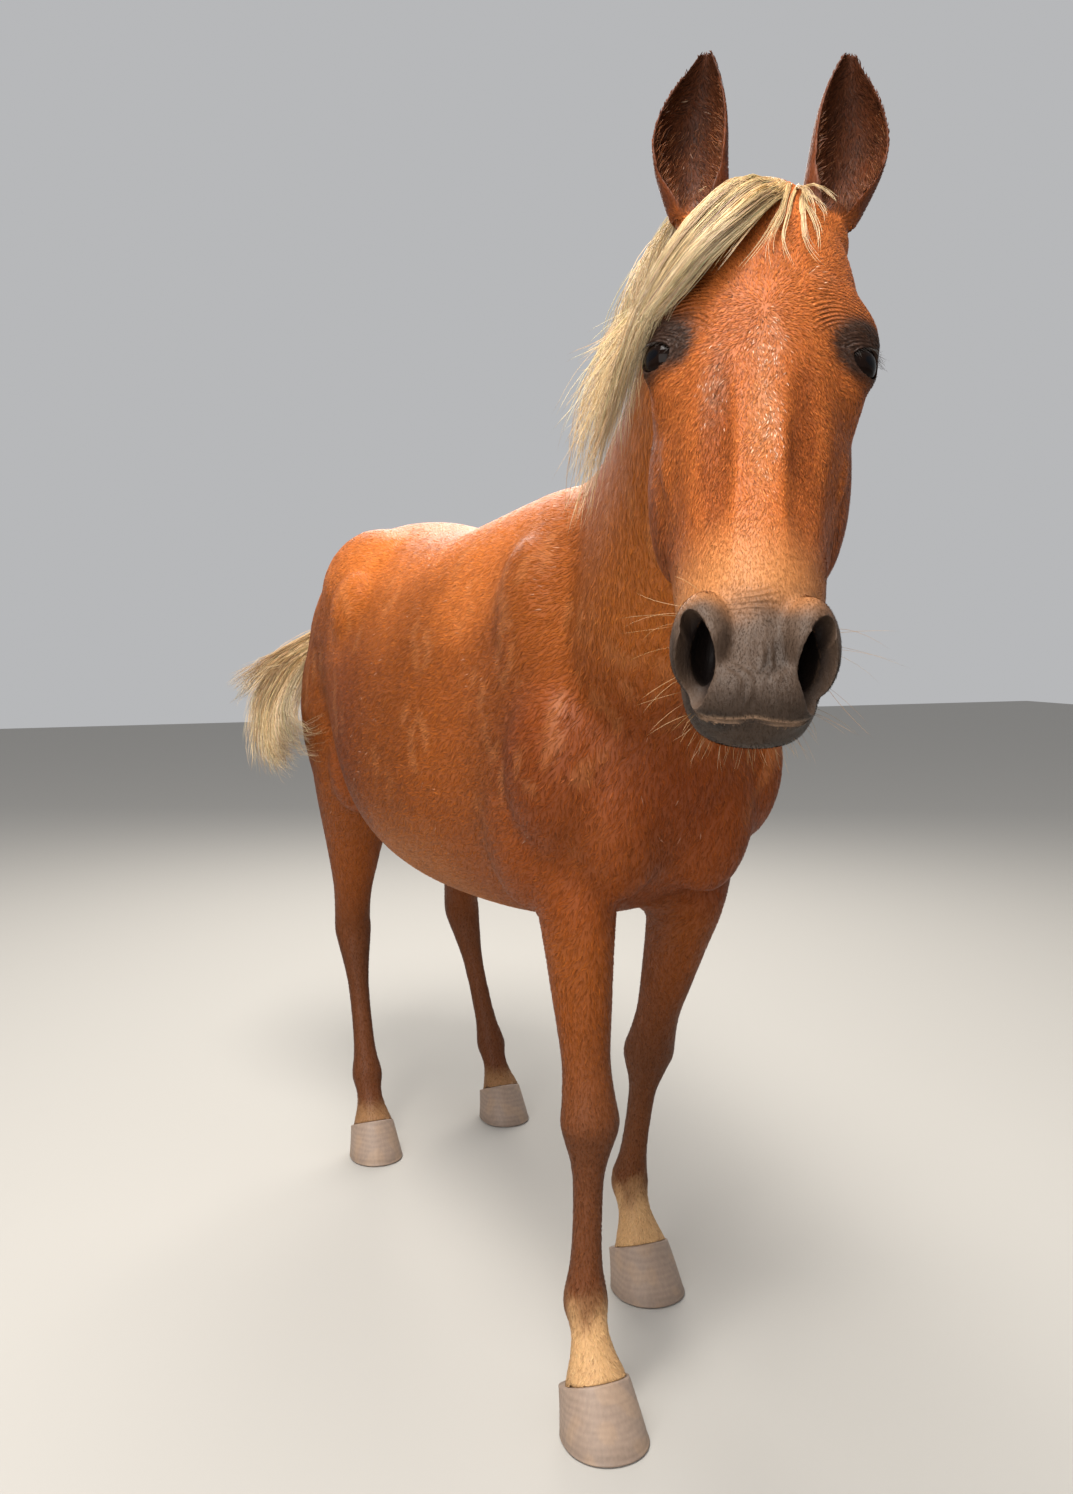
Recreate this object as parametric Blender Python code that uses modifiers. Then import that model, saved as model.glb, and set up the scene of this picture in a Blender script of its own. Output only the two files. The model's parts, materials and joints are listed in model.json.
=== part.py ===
"""A life-size pony, standing, with its head turned a little to its right.

Metres, +Z up. The pony faces -Y and its left side is +X. The shapes are worked
out with x = 0 on the middle of the body and y = 0 under the withers, and the
finished pieces are then moved so that the origin lies on the floor under the
middle of the whole animal.

The body is modelled whole, from lofted forms and rounded muscles that are
melted into one skin, and is then parted into its named pieces by thin cuts.
Mane, forelock and tail are flat, tapered locks rooted in their piece.
"""
import math
import random

import bmesh
import bpy
import numpy as np
from mathutils import Matrix, Vector
from mathutils.bvhtree import BVHTree

# Driving sizes
GAP = 0.0003
CLEAR = 0.00024
FLOOR_CENTRE = Vector((0.091, -0.081, 0.0))
RIGHT = -1.0
LEFT = 1.0
UP = Vector((0.0, 0.0, 1.0))
FORWARD = Vector((0.0, -1.0, 0.0))

# Head: where the poll is, how the head is turned, nosed out and leaned
POLL = Vector((-0.185, -0.808, 1.611))
HEAD_YAW = math.radians(-25.8)
HEAD_PITCH = math.radians(-29.7)
HEAD_ROLL = math.radians(3.2)
HEAD_SIZE = 1.013
EYE_RADIUS = 0.0205
EYE_CENTRE = (0.0825, 0.0486, -0.188)
LID_SHELL = 0.0031
LID_BLEND = 0.016
LID_LENGTH = (0.0180, 0.0195)
LID_RISE = (0.0122, 0.0095)
EAR_LENGTH = 0.170
EAR_SKIN = 0.0040

# Fineness of the melted skin and of the faceted result
BODY_VOXEL = 0.0085
BODY_ROUNDS = 20
HEAD_VOXEL = 0.0032
HEAD_ROUNDS = 18
BODY_FACES = 4750
HEAD_FACES = 2000

# Locks of hair: how many there are, where they start and end along the neck, and their widths
FORELOCK_LOCKS = 8
MANE_LOCKS = 17
MANE_START = 0.33
MANE_TURN = 0.56
MANE_END = 0.86
MANE_SPREAD = 1.0
MANE_WIDTH = 0.050
TAIL_LOCKS = 13
TAIL_STRIDE = 5
TAIL_WIDTH = 0.038
draw = random.Random(5)

HEAD_PLACE = (
    Matrix.Translation(POLL)
    @ Matrix.Rotation(HEAD_YAW, 4, "Z")
    @ Matrix.Rotation(HEAD_PITCH, 4, "X")
    @ Matrix.Rotation(HEAD_ROLL, 4, "Y")
    @ Matrix.Scale(HEAD_SIZE, 4)
)

# Trunk: y, height of the widest line, half width, rise above it, drop below it, how pear-shaped,
# and x of the middle
TRUNK = (
    (-0.335, 1.000, 0.050, 0.050, 0.050, 0.00, 0.000),
    (-0.300, 1.000, 0.120, 0.130, 0.125, 0.00, 0.000),
    (-0.240, 1.010, 0.165, 0.220, 0.205, 0.00, 0.000),
    (-0.160, 1.030, 0.190, 0.300, 0.270, 0.05, 0.000),
    (-0.070, 1.030, 0.202, 0.362, 0.300, 0.10, 0.000),
    (0.030, 1.010, 0.215, 0.402, 0.305, 0.14, 0.000),
    (0.140, 0.990, 0.240, 0.412, 0.300, 0.12, -0.002),
    (0.260, 0.975, 0.266, 0.410, 0.292, 0.08, -0.006),
    (0.380, 0.970, 0.282, 0.400, 0.286, 0.06, -0.012),
    (0.500, 0.985, 0.285, 0.388, 0.283, 0.04, -0.018),
    (0.610, 1.020, 0.272, 0.368, 0.262, 0.00, -0.024),
    (0.720, 1.080, 0.256, 0.325, 0.240, -0.04, -0.030),
    (0.830, 1.110, 0.250, 0.292, 0.235, -0.04, -0.034),
    (0.930, 1.120, 0.236, 0.250, 0.225, 0.00, -0.036),
    (1.020, 1.120, 0.196, 0.196, 0.205, 0.00, -0.036),
    (1.085, 1.110, 0.128, 0.120, 0.160, 0.00, -0.034),
    (1.115, 1.100, 0.050, 0.050, 0.070, 0.00, -0.032),
)

# Neck: x, y, z of its axis, half width, reach up to the crest, reach down to the throat, pear
NECK = (
    (0.000, 0.060, 1.060, 0.110, 0.306, 0.240, 0.25),
    (0.000, -0.070, 1.110, 0.124, 0.312, 0.235, 0.30),
    (-0.018, -0.190, 1.170, 0.112, 0.314, 0.205, 0.30),
    (-0.050, -0.310, 1.245, 0.094, 0.288, 0.175, 0.28),
    (-0.084, -0.430, 1.325, 0.080, 0.252, 0.148, 0.24),
    (-0.118, -0.540, 1.400, 0.072, 0.208, 0.128, 0.18),
    (-0.148, -0.640, 1.465, 0.068, 0.158, 0.120, 0.08),
    (-0.172, -0.735, 1.520, 0.066, 0.112, 0.115, 0.00),
    (-0.186, -0.790, 1.545, 0.050, 0.080, 0.090, 0.00),
)

# Head, in its own frame: z below the poll, y of the widest line, half width, reach to the face,
# reach to the jaw, pear
HEAD = (
    (0.020, 0.070, 0.022, 0.022, 0.022, 0.00),
    (0.004, 0.068, 0.054, 0.056, 0.050, 0.00),
    (-0.040, 0.075, 0.080, 0.073, 0.085, 0.00),
    (-0.090, 0.082, 0.092, 0.083, 0.120, -0.03),
    (-0.140, 0.087, 0.096, 0.088, 0.148, -0.05),
    (-0.190, 0.092, 0.096, 0.092, 0.156, 0.00),
    (-0.240, 0.098, 0.089, 0.097, 0.142, 0.08),
    (-0.290, 0.100, 0.083, 0.098, 0.116, 0.14),
    (-0.340, 0.094, 0.073, 0.091, 0.092, 0.16),
    (-0.390, 0.082, 0.066, 0.079, 0.075, 0.16),
    (-0.435, 0.070, 0.062, 0.069, 0.066, 0.12),
    (-0.480, 0.062, 0.056, 0.063, 0.060, 0.04),
    (-0.515, 0.052, 0.055, 0.056, 0.054, 0.00),
    (-0.545, 0.040, 0.046, 0.044, 0.044, 0.00),
    (-0.565, 0.030, 0.032, 0.028, 0.026, 0.00),
    (-0.575, 0.026, 0.014, 0.010, 0.010, 0.00),
)

# Masses of one half of the head: centre and half sizes
HEAD_MASSES = (
    ((0.061, 0.145, -0.245), (0.034, 0.082, 0.108)),
    ((0.073, 0.082, -0.262), (0.012, 0.018, 0.052)),
    ((0.052, 0.066, -0.028), (0.032, 0.036, 0.034)),
    ((0.041, 0.020, -0.492), (0.026, 0.034, 0.046)),
    ((0.014, 0.021, -0.540), (0.036, 0.028, 0.033)),
    ((0.012, 0.052, -0.540), (0.030, 0.028, 0.020)),
    ((0.004, 0.084, -0.508), (0.030, 0.032, 0.027)),
)

# Swellings and hollows of one half of the head: centre, reach to the sides, back and up, and height
HEAD_SWELLS = (
    ((0.086, 0.052, -0.154), (0.046, 0.062, 0.058), 0.017),
    ((0.060, 0.070, -0.105), (0.026, 0.034, 0.034), -0.004),
)

# Legs: place along the joints (0 top, 1 elbow or stifle, 2 knee or hock, 3 fetlock, 4 coronet),
# half width, front, back
FORELEG_FORM = (
    (0.00, 0.058, 0.070, 0.070),
    (0.60, 0.062, 0.080, 0.078),
    (1.00, 0.058, 0.076, 0.080),
    (1.25, 0.050, 0.064, 0.066),
    (1.50, 0.043, 0.052, 0.052),
    (1.72, 0.038, 0.041, 0.040),
    (1.88, 0.042, 0.042, 0.038),
    (2.00, 0.047, 0.045, 0.042),
    (2.12, 0.038, 0.036, 0.036),
    (2.28, 0.026, 0.026, 0.031),
    (2.55, 0.0235, 0.024, 0.030),
    (2.80, 0.026, 0.026, 0.033),
    (3.00, 0.036, 0.034, 0.040),
    (3.30, 0.030, 0.029, 0.033),
    (3.60, 0.034, 0.031, 0.034),
    (4.00, 0.049, 0.046, 0.044),
    (4.25, 0.052, 0.050, 0.044),
)
HINDLEG_FORM = (
    (0.00, 0.080, 0.150, 0.170),
    (0.60, 0.092, 0.145, 0.215),
    (1.00, 0.086, 0.110, 0.215),
    (1.25, 0.074, 0.085, 0.165),
    (1.50, 0.058, 0.064, 0.115),
    (1.75, 0.044, 0.046, 0.082),
    (1.93, 0.041, 0.044, 0.064),
    (2.05, 0.043, 0.042, 0.050),
    (2.20, 0.035, 0.034, 0.038),
    (2.40, 0.0255, 0.027, 0.031),
    (2.65, 0.0240, 0.025, 0.030),
    (2.85, 0.0270, 0.027, 0.033),
    (3.00, 0.036, 0.034, 0.038),
    (3.30, 0.030, 0.028, 0.032),
    (3.60, 0.032, 0.031, 0.034),
    (4.00, 0.045, 0.044, 0.042),
    (4.25, 0.048, 0.048, 0.042),
)

# Each leg: its side, its form, and its joints from the top to the coronet
LEGS = {
    "fore_leg_right": (RIGHT, FORELEG_FORM, (
        (-0.115, -0.130, 0.930), (-0.104, -0.175, 0.780), (-0.094, -0.205, 0.450),
        (-0.099, -0.205, 0.175), (-0.101, -0.247, 0.072))),
    "fore_leg_left": (LEFT, FORELEG_FORM, (
        (0.120, -0.130, 0.930), (0.114, -0.120, 0.780), (0.146, 0.080, 0.440),
        (0.146, 0.150, 0.172), (0.147, 0.108, 0.072))),
    "hind_leg_right": (RIGHT, HINDLEG_FORM, (
        (-0.175, 0.800, 1.060), (-0.197, 0.810, 0.860), (-0.167, 0.990, 0.500),
        (-0.160, 0.895, 0.165), (-0.160, 0.848, 0.068))),
    "hind_leg_left": (LEFT, HINDLEG_FORM, (
        (0.080, 0.850, 1.060), (0.088, 0.870, 0.860), (0.128, 1.080, 0.500),
        (0.176, 0.995, 0.165), (0.184, 0.950, 0.068))),
}

# Dock, the fleshy root of the tail: x, y, z, half width, up, down, pear
DOCK = (
    (-0.032, 0.960, 1.235, 0.044, 0.044, 0.044, 0.0),
    (-0.034, 1.050, 1.250, 0.038, 0.036, 0.038, 0.0),
    (-0.050, 1.115, 1.242, 0.030, 0.029, 0.031, 0.0),
    (-0.085, 1.160, 1.220, 0.025, 0.025, 0.026, 0.0),
    (-0.132, 1.190, 1.190, 0.021, 0.021, 0.022, 0.0),
    (-0.182, 1.200, 1.150, 0.016, 0.016, 0.017, 0.0),
    (-0.225, 1.195, 1.105, 0.008, 0.008, 0.009, 0.0),
)

# Forelock, in the head's frame: a lock at the inner edge, one in the middle and one at the outer
# edge of the sweep
FORELOCK = (
    ((0.020, 0.050, -0.004), (0.010, 0.006, -0.034), (-0.026, -0.014, -0.074), (-0.064, -0.012, -0.112),
     (-0.100, 0.030, -0.150), (-0.120, 0.082, -0.200)),
    ((0.000, 0.055, -0.002), (-0.016, 0.006, -0.024), (-0.056, 0.004, -0.064), (-0.096, 0.026, -0.106),
     (-0.126, 0.070, -0.160), (-0.138, 0.120, -0.240)),
    ((-0.020, 0.060, 0.000), (-0.040, 0.024, -0.016), (-0.080, 0.034, -0.050), (-0.112, 0.060, -0.100),
     (-0.140, 0.096, -0.170), (-0.150, 0.150, -0.270)),
)
# Wisps of the forelock that hang down the forehead: where each starts and ends
WISPS = (
    ((0.016, 0.050, -0.002), (0.020, -0.004, -0.110)),
    ((0.034, 0.052, -0.004), (0.058, 0.004, -0.100)),
    ((0.040, 0.056, -0.004), (0.066, 0.014, -0.050)),
)

# Tail hair, from the dock to the tips: the swung upper edge, the lowest locks, and two more
# towards the right thigh
TAIL_FALL = (
    ((-0.110, 1.165, 1.205), (-0.215, 1.205, 1.155), (-0.320, 1.160, 1.100), (-0.385, 1.100, 1.070),
     (-0.425, 1.040, 1.052)),
    ((-0.130, 1.180, 1.185), (-0.240, 1.185, 1.120), (-0.330, 1.100, 1.020), (-0.362, 1.010, 0.930),
     (-0.362, 0.945, 0.868)),
    ((-0.110, 1.160, 1.200), (-0.225, 1.165, 1.110), (-0.322, 1.050, 0.985), (-0.345, 0.930, 0.900),
     (-0.335, 0.850, 0.885)),
    ((-0.090, 1.140, 1.215), (-0.210, 1.120, 1.110), (-0.310, 0.960, 1.000), (-0.330, 0.760, 0.950),
     (-0.325, 0.560, 0.985)),
)

# Mane: how far the hair stands out to the side, and how far it hangs, from root to tip of a lock
MANE_OUT = (0.0, 0.034, 0.064, 0.084, 0.094, 0.092)
MANE_DROP = (0.0, -0.004, 0.040, 0.105, 0.180, 0.260)

# Where the pieces are parted: a point on each cut and the direction across it
NECK_BASE = (Vector((0.0, -0.020, 1.400)), Vector((0.0, 0.43, -0.27)).normalized())
DOCK_BASE = (Vector((-0.045, 1.100, 1.245)), Vector((0.45, -0.88, 0.0)).normalized())
THROAT = (
    HEAD_PLACE @ Vector((0.0, 0.100, 0.030)),
    (HEAD_PLACE.to_3x3() @ Vector((0.0, -0.804, -0.594))).normalized(),
)


def spline(rows, place):
    """Read a smooth curve through rows of numbers at a place from 0 to 1."""
    spans = len(rows) - 1
    here = min(max(place, 0.0), 1.0) * spans
    first = min(int(here), spans - 1)
    t = here - first
    b = rows[first]
    c = rows[first + 1]
    a = rows[first - 1] if first > 0 else 2 * b - c
    d = rows[first + 2] if first + 2 <= spans else 2 * c - b
    curve = 2 * b + (c - a) * t + (2 * a - 5 * b + 4 * c - d) * t * t
    return 0.5 * (curve + (3 * b - a - 3 * c + d) * t * t * t)


def section(rows, place, front):
    """The sizes, the centre and the two directions of the section at a place along a path."""
    row = spline(rows, place)
    if front is None:
        return row, Vector(row[:3]), Vector((1.0, 0.0, 0.0)), UP
    ahead = Vector(spline(rows, place + 0.01)[:3] - spline(rows, place - 0.01)[:3]).normalized()
    up = (front - ahead * front.dot(ahead)).normalized()
    return row, Vector(row[:3]), ahead.cross(up), up


def loft(rows, around=28, steps=4, front=None, square=2.0):
    """Make a closed tube through rows of x, y, z, half width, reach up, reach down, pear.

    With front given, each section stands square to the path and its upper side
    turns towards front. Without it the sections stand upright across the path.
    """
    rows = np.array(rows, float)
    along = (len(rows) - 1) * steps
    bm = bmesh.new()
    bmesh.ops.create_grid(bm, x_segments=around, y_segments=along, size=0.5)
    power = 2.0 / square
    for vert in bm.verts:
        angle = 2.0 * math.pi * (vert.co.x + 0.5)
        row, centre, side, up = section(rows, vert.co.y + 0.5, front)
        across = math.cos(angle)
        rise = math.sin(angle)
        reach = row[4] if rise > 0 else row[5]
        wide = row[3] * math.copysign(abs(across) ** power, across) * (1.0 - row[6] * rise)
        tall = reach * math.copysign(abs(rise) ** power, rise)
        vert.co = centre + side * wide + up * tall
    bmesh.ops.remove_doubles(bm, verts=bm.verts, dist=0.00005)
    bmesh.ops.holes_fill(bm, edges=bm.edges, sides=0)
    bmesh.ops.recalc_face_normals(bm, faces=bm.faces)
    return bm


def muscle(centre, radii, turn=(0.0, 0.0, 0.0), place=None, fineness=10):
    """Make a rounded mass from its centre, its three half sizes and its turn in degrees."""
    bm = bmesh.new()
    bmesh.ops.create_uvsphere(bm, u_segments=2 * fineness, v_segments=fineness, radius=1.0)
    shape = Matrix.Translation(Vector(centre))
    for degrees, axis in zip(turn, "XYZ"):
        shape = shape @ Matrix.Rotation(math.radians(degrees), 4, axis)
    shape = shape @ Matrix.Diagonal((*radii, 1.0))
    if place is not None:
        shape = place @ shape
    bmesh.ops.transform(bm, matrix=shape, verts=bm.verts)
    return bm


def place_object(name, mesh):
    thing = bpy.data.objects.new(name, mesh)
    pony.objects.link(thing)
    return thing


def as_object(name, bm):
    mesh = bpy.data.meshes.new(name)
    bm.to_mesh(mesh)
    bm.free()
    return place_object(name, mesh)


def gather(name, shapes):
    """Put several closed shapes into one object, still as separate shells."""
    whole = bmesh.new()
    for shape in shapes:
        piece = bpy.data.meshes.new("piece")
        shape.to_mesh(piece)
        shape.free()
        whole.from_mesh(piece)
        bpy.data.meshes.remove(piece)
    return as_object(name, whole)


def evaluated(thing, name):
    """Turn an object with its modifiers into a plain mesh object, and drop the first."""
    bpy.context.view_layer.update()
    graph = bpy.context.evaluated_depsgraph_get()
    mesh = bpy.data.meshes.new_from_object(thing.evaluated_get(graph))
    bpy.data.objects.remove(thing)
    return place_object(name, mesh)


def melt(name, shapes, voxel, rounds, softness):
    """Melt closed shapes into one smooth skin.

    softness gives, for a point, how much of the smoothing it takes, so that
    thin legs keep their girth.
    """
    body = gather(name, shapes)
    remesh = body.modifiers.new("melt", "REMESH")
    remesh.mode = "VOXEL"
    remesh.voxel_size = voxel
    body = evaluated(body, name)
    smooth = body.modifiers.new("smooth", "SMOOTH")
    smooth.factor = 0.5
    smooth.iterations = rounds
    group = body.vertex_groups.new(name="soft")
    for vert in body.data.vertices:
        group.add([vert.index], softness(vert.co), "REPLACE")
    smooth.vertex_group = "soft"
    return evaluated(body, name)


def coarsen(thing, faces):
    """Cut a skin down to about so many triangles."""
    coarse = thing.modifiers.new("coarse", "DECIMATE")
    coarse.ratio = faces / (2.0 * len(thing.data.polygons))
    return evaluated(thing, thing.name)


def boolean(thing, cutters, operation, name=None):
    """Join or cut an object with others in one step, and remove the others."""
    tools = bpy.data.collections.new("tools")
    bpy.context.scene.collection.children.link(tools)
    for cutter in cutters:
        pony.objects.unlink(cutter)
        tools.objects.link(cutter)
        cutter.hide_render = True
        cutter.display_type = "WIRE"
    step = thing.modifiers.new("boolean", "BOOLEAN")
    step.operation = operation
    step.solver = "MANIFOLD"
    step.operand_type = "COLLECTION"
    step.collection = tools
    result = evaluated(thing, name or thing.name)
    for cutter in list(tools.objects):
        bpy.data.objects.remove(cutter)
    bpy.data.collections.remove(tools)
    return largest(result)


def largest(thing):
    """Keep only the largest closed surface of an object."""
    bm = bmesh.new()
    bm.from_mesh(thing.data)
    left = set(bm.verts)
    groups = []
    while left:
        front = [left.pop()]
        group = set(front)
        while front:
            vert = front.pop()
            for edge in vert.link_edges:
                other = edge.other_vert(vert)
                if other in left:
                    left.discard(other)
                    group.add(other)
                    front.append(other)
        groups.append(group)
    groups.sort(key=len, reverse=True)
    for group in groups[1:]:
        bmesh.ops.delete(bm, geom=list(group), context="VERTS")
    bmesh.ops.triangulate(bm, faces=bm.faces)
    bm.to_mesh(thing.data)
    bm.free()
    return thing


def cut_away(bm, point, outward):
    """Cut a closed mesh square off at a plane, keep what lies behind it, and close the cut."""
    cut = bmesh.ops.bisect_plane(
        bm, geom=bm.verts[:] + bm.edges[:] + bm.faces[:], plane_co=point,
        plane_no=outward, clear_outer=True)
    edges = [item for item in cut["geom_cut"] if isinstance(item, bmesh.types.BMEdge)]
    bmesh.ops.holes_fill(bm, edges=edges, sides=0)


def block(name, planes):
    """Make a big box with some of its sides at given planes."""
    bm = bmesh.new()
    bmesh.ops.create_cube(bm, size=6.0)
    for point, outward in planes:
        cut_away(bm, point, outward)
    bmesh.ops.recalc_face_normals(bm, faces=bm.faces)
    return as_object(name, bm)


def part_off(body, name, planes):
    """Take the piece of a body behind several planes, and leave a thin gap round it."""
    grown = [(point + outward * GAP, outward) for point, outward in planes]
    copy = place_object(name, body.data.copy())
    piece = boolean(copy, [block("inside", planes)], "INTERSECT", name)
    rest = boolean(body, [block("outside", grown)], "DIFFERENCE")
    return piece, rest


def trim(thing, point, outward):
    bm = bmesh.new()
    bm.from_mesh(thing.data)
    cut_away(bm, point, outward)
    bmesh.ops.triangulate(bm, faces=bm.faces)
    bm.to_mesh(thing.data)
    bm.free()
    return thing


def surface_of(things):
    """Build a search tree over the surfaces of several objects."""
    verts = []
    faces = []
    for thing in things:
        base = len(verts)
        verts += [vert.co.copy() for vert in thing.data.vertices]
        faces += [[base + index for index in face.vertices] for face in thing.data.polygons]
    return BVHTree.FromPolygons(verts, faces)


def finish(thing, colour, roughness):
    material = bpy.data.materials.new(thing.name)
    material.use_nodes = True
    shader = material.node_tree.nodes["Principled BSDF"]
    shader.inputs["Base Color"].default_value = (*colour, 1.0)
    shader.inputs["Roughness"].default_value = roughness
    shader.inputs["Metallic"].default_value = 0.0
    thing.data.materials.clear()
    thing.data.materials.append(material)
    thing.data.shade_smooth()
    thing.data.set_sharp_from_angle(angle=math.radians(50.0))


def leg_rows(form, joints):
    """Place the leg's sections along its joints."""
    points = [Vector(joint) for joint in joints]
    rows = []
    for along, wide, front, back in form:
        first = min(int(along), len(points) - 2)
        centre = points[first].lerp(points[first + 1], along - first)
        rows.append((*centre, wide, front, back, 0.0))
    return rows


def head_shapes():
    """The skull and its masses, in the head's own frame carried to its place."""
    rows = [(0.0, y, z, wide, face, jaw, pear) for z, y, wide, face, jaw, pear in HEAD]
    skull = loft(rows, around=36, front=FORWARD, square=2.2)
    bmesh.ops.transform(skull, matrix=HEAD_PLACE, verts=skull.verts)
    shapes = [skull]
    for side in (RIGHT, LEFT):
        for (x, y, z), radii in HEAD_MASSES:
            shapes.append(muscle((x * side, y, z), radii, place=HEAD_PLACE))
    return shapes


def body_shapes():
    """Trunk, neck, dock and legs with the masses that shape them."""
    rows = [(x, y, z, wide, up, down, pear) for y, z, wide, up, down, pear, x in TRUNK]
    shapes = [loft(rows, around=36, square=2.15)]
    shapes.append(loft(NECK, around=28, front=UP))
    shapes.append(loft(DOCK, around=16, front=UP))
    hip = -0.032
    for side in (RIGHT, LEFT):
        shapes += [
            muscle((0.118 * side, -0.095, 1.120), (0.076, 0.110, 0.215), (-20, 0, 0)),
            muscle((0.140 * side, -0.190, 0.985), (0.078, 0.105, 0.135)),
            muscle((0.140 * side, -0.085, 0.905), (0.070, 0.125, 0.155)),
            muscle((0.068 * side, -0.245, 0.930), (0.078, 0.080, 0.140)),
            muscle((hip + 0.120 * side, 0.740, 1.240), (0.125, 0.210, 0.150)),
            muscle((hip + 0.202 * side, 0.605, 1.205), (0.060, 0.085, 0.090)),
            muscle((hip + 0.165 * side, 0.850, 1.010), (0.106, 0.190, 0.230)),
            muscle((hip + 0.105 * side, 1.020, 1.030), (0.100, 0.100, 0.210)),
            muscle((hip + 0.185 * side, 0.700, 0.900), (0.064, 0.080, 0.105)),
        ]
    for side, form, joints in LEGS.values():
        shapes.append(loft(leg_rows(form, joints), around=20, front=FORWARD))
        top = Vector(joints[1])
        knee = Vector(joints[2])
        fetlock = Vector(joints[3])
        if form is HINDLEG_FORM:
            shapes.append(muscle(knee + Vector((0, 0.058, 0.046)), (0.019, 0.028, 0.062), (-12, 0, 0)))
        else:
            shapes.append(muscle(top + Vector((0, 0.070, 0.020)), (0.034, 0.036, 0.050)))
            shapes.append(muscle(knee + Vector((0, 0.030, -0.008)), (0.028, 0.022, 0.026)))
        shapes.append(muscle(fetlock + Vector((0, 0.022, -0.004)), (0.026, 0.024, 0.026)))
    return shapes


def softness(point):
    """Full smoothing on the trunk, less on the neck and head, little on the legs."""
    legs = min(1.0, max(0.04, (point.z - 0.55) / 0.35))
    front = min(1.0, max(0.0, (-0.25 - point.y) / 0.35))
    return legs * (1.0 - 0.75 * front)


def head_softness(point):
    """A little more smoothing on the muzzle than along the rest of the head."""
    place = HEAD_PLACE.inverted() @ point
    return 0.6 + 0.4 * min(1.0, max(0.0, (-0.42 - place.z) / 0.06))


def leg_cuts(name):
    """The planes that part a leg from the trunk: its top, its inner side, and its front or back."""
    side, form, joints = LEGS[name]
    if form is FORELEG_FORM:
        lean = (joints[2][1] - joints[1][1]) / (joints[1][2] - joints[2][2])
        back = Vector((0.0, joints[1][1] + 0.105, joints[1][2]))
        return [
            (Vector((0.030 * side, 0.0, 0.740)), Vector((-0.125 * side, 0.0, 0.200)).normalized()),
            (Vector((0.030 * side, 0.0, 0.0)), Vector((-side, 0.0, 0.0))),
            (back, Vector((0.0, 1.0, max(lean, 0.0) * 0.8)).normalized()),
        ]
    return [
        (Vector((0.0, 0.600, 0.760)), Vector((0.0, -0.14, 0.45)).normalized()),
        (Vector((-0.032 + 0.004 * side, 0.0, 0.0)), Vector((-side, 0.0, 0.0))),
        (Vector((0.0, 0.620, 0.0)), Vector((0.0, -1.0, 0.0))),
    ]


# Hooves: half width and length at the ground, the same at the coronet, and how far the toe
# stands ahead of the coronet
HOOF_SIZES = {
    "fore": (0.064, 0.132, 0.052, 0.096, 0.052),
    "hind": (0.058, 0.124, 0.047, 0.090, 0.046),
}
CORONET_SLOPE = math.radians(24.0)


def coronet_plane(joints):
    """The cut between pastern and hoof: it falls from the toe to the heel."""
    point = Vector(joints[4])
    down = Vector((0.0, -math.sin(CORONET_SLOPE), -math.cos(CORONET_SLOPE)))
    return point, down


def hoof(name, sizes, joints):
    """A hoof: rings from the flat sole up to the slanting coronet, rounder in front than behind."""
    ground_half, ground_length, top_half, top_length, toe_ahead = sizes
    point, down = coronet_plane(joints)
    bm = bmesh.new()
    heights = (0.0, 0.0, 0.12, 0.55, 1.0)
    insets = (0.90, 1.0, 0.985, 0.99, 1.0)
    bmesh.ops.create_grid(bm, x_segments=20, y_segments=len(heights) - 1, size=0.5)
    for vert in bm.verts:
        angle = 2.0 * math.pi * (vert.co.x + 0.5)
        ring = round((vert.co.y + 0.5) * (len(heights) - 1))
        rise = heights[ring]
        half = (ground_half + (top_half - ground_half) * rise) * insets[ring]
        length = (ground_length + (top_length - ground_length) * rise) * insets[ring]
        across = math.cos(angle)
        ahead = math.sin(angle)
        square = 0.80 if ahead < 0 else 0.95
        x = half * math.copysign(abs(across) ** square, across)
        y = -0.5 * length * math.copysign(abs(ahead) ** square, ahead)
        middle = point.y - (toe_ahead + 0.5 * (top_length - ground_length)) * (1.0 - rise)
        y += middle + 0.006 * rise
        top = point.z + (y - point.y) * -math.tan(CORONET_SLOPE)
        top -= GAP / math.cos(CORONET_SLOPE)
        vert.co = Vector((point.x + x, y, max(0.0, top * rise)))
        if ring == 1:
            vert.co.z = 0.004
    bmesh.ops.remove_doubles(bm, verts=bm.verts, dist=0.00005)
    bmesh.ops.holes_fill(bm, edges=bm.edges, sides=0)
    bmesh.ops.recalc_face_normals(bm, faces=bm.faces)
    bmesh.ops.triangulate(bm, faces=bm.faces)
    return as_object(name, bm)


def tube(name, points, radius, sides=6):
    """A round bar along a few points, made a closed mesh."""
    curve = bpy.data.curves.new(name, "CURVE")
    curve.dimensions = "3D"
    curve.bevel_depth = radius
    curve.bevel_resolution = max(0, sides // 2 - 2)
    curve.use_fill_caps = True
    line = curve.splines.new("POLY")
    line.points.add(len(points) - 1)
    for node, point in zip(line.points, points):
        node.co = (*point, 1.0)
    bar = evaluated(place_object(name, curve), name)
    bm = bmesh.new()
    bm.from_mesh(bar.data)
    bmesh.ops.remove_doubles(bm, verts=bm.verts, dist=0.00005)
    bmesh.ops.recalc_face_normals(bm, faces=bm.faces)
    bm.to_mesh(bar.data)
    bm.free()
    return bar


def near(point, centre, reach):
    """How near a point lies to a centre: 1 at it, falling smoothly to 0 at the reach."""
    away = math.sqrt(sum(((point[i] - centre[i]) / reach[i]) ** 2 for i in range(3)))
    fade = max(0.0, 1.0 - away)
    return fade * fade * (3.0 - 2.0 * fade)


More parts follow.
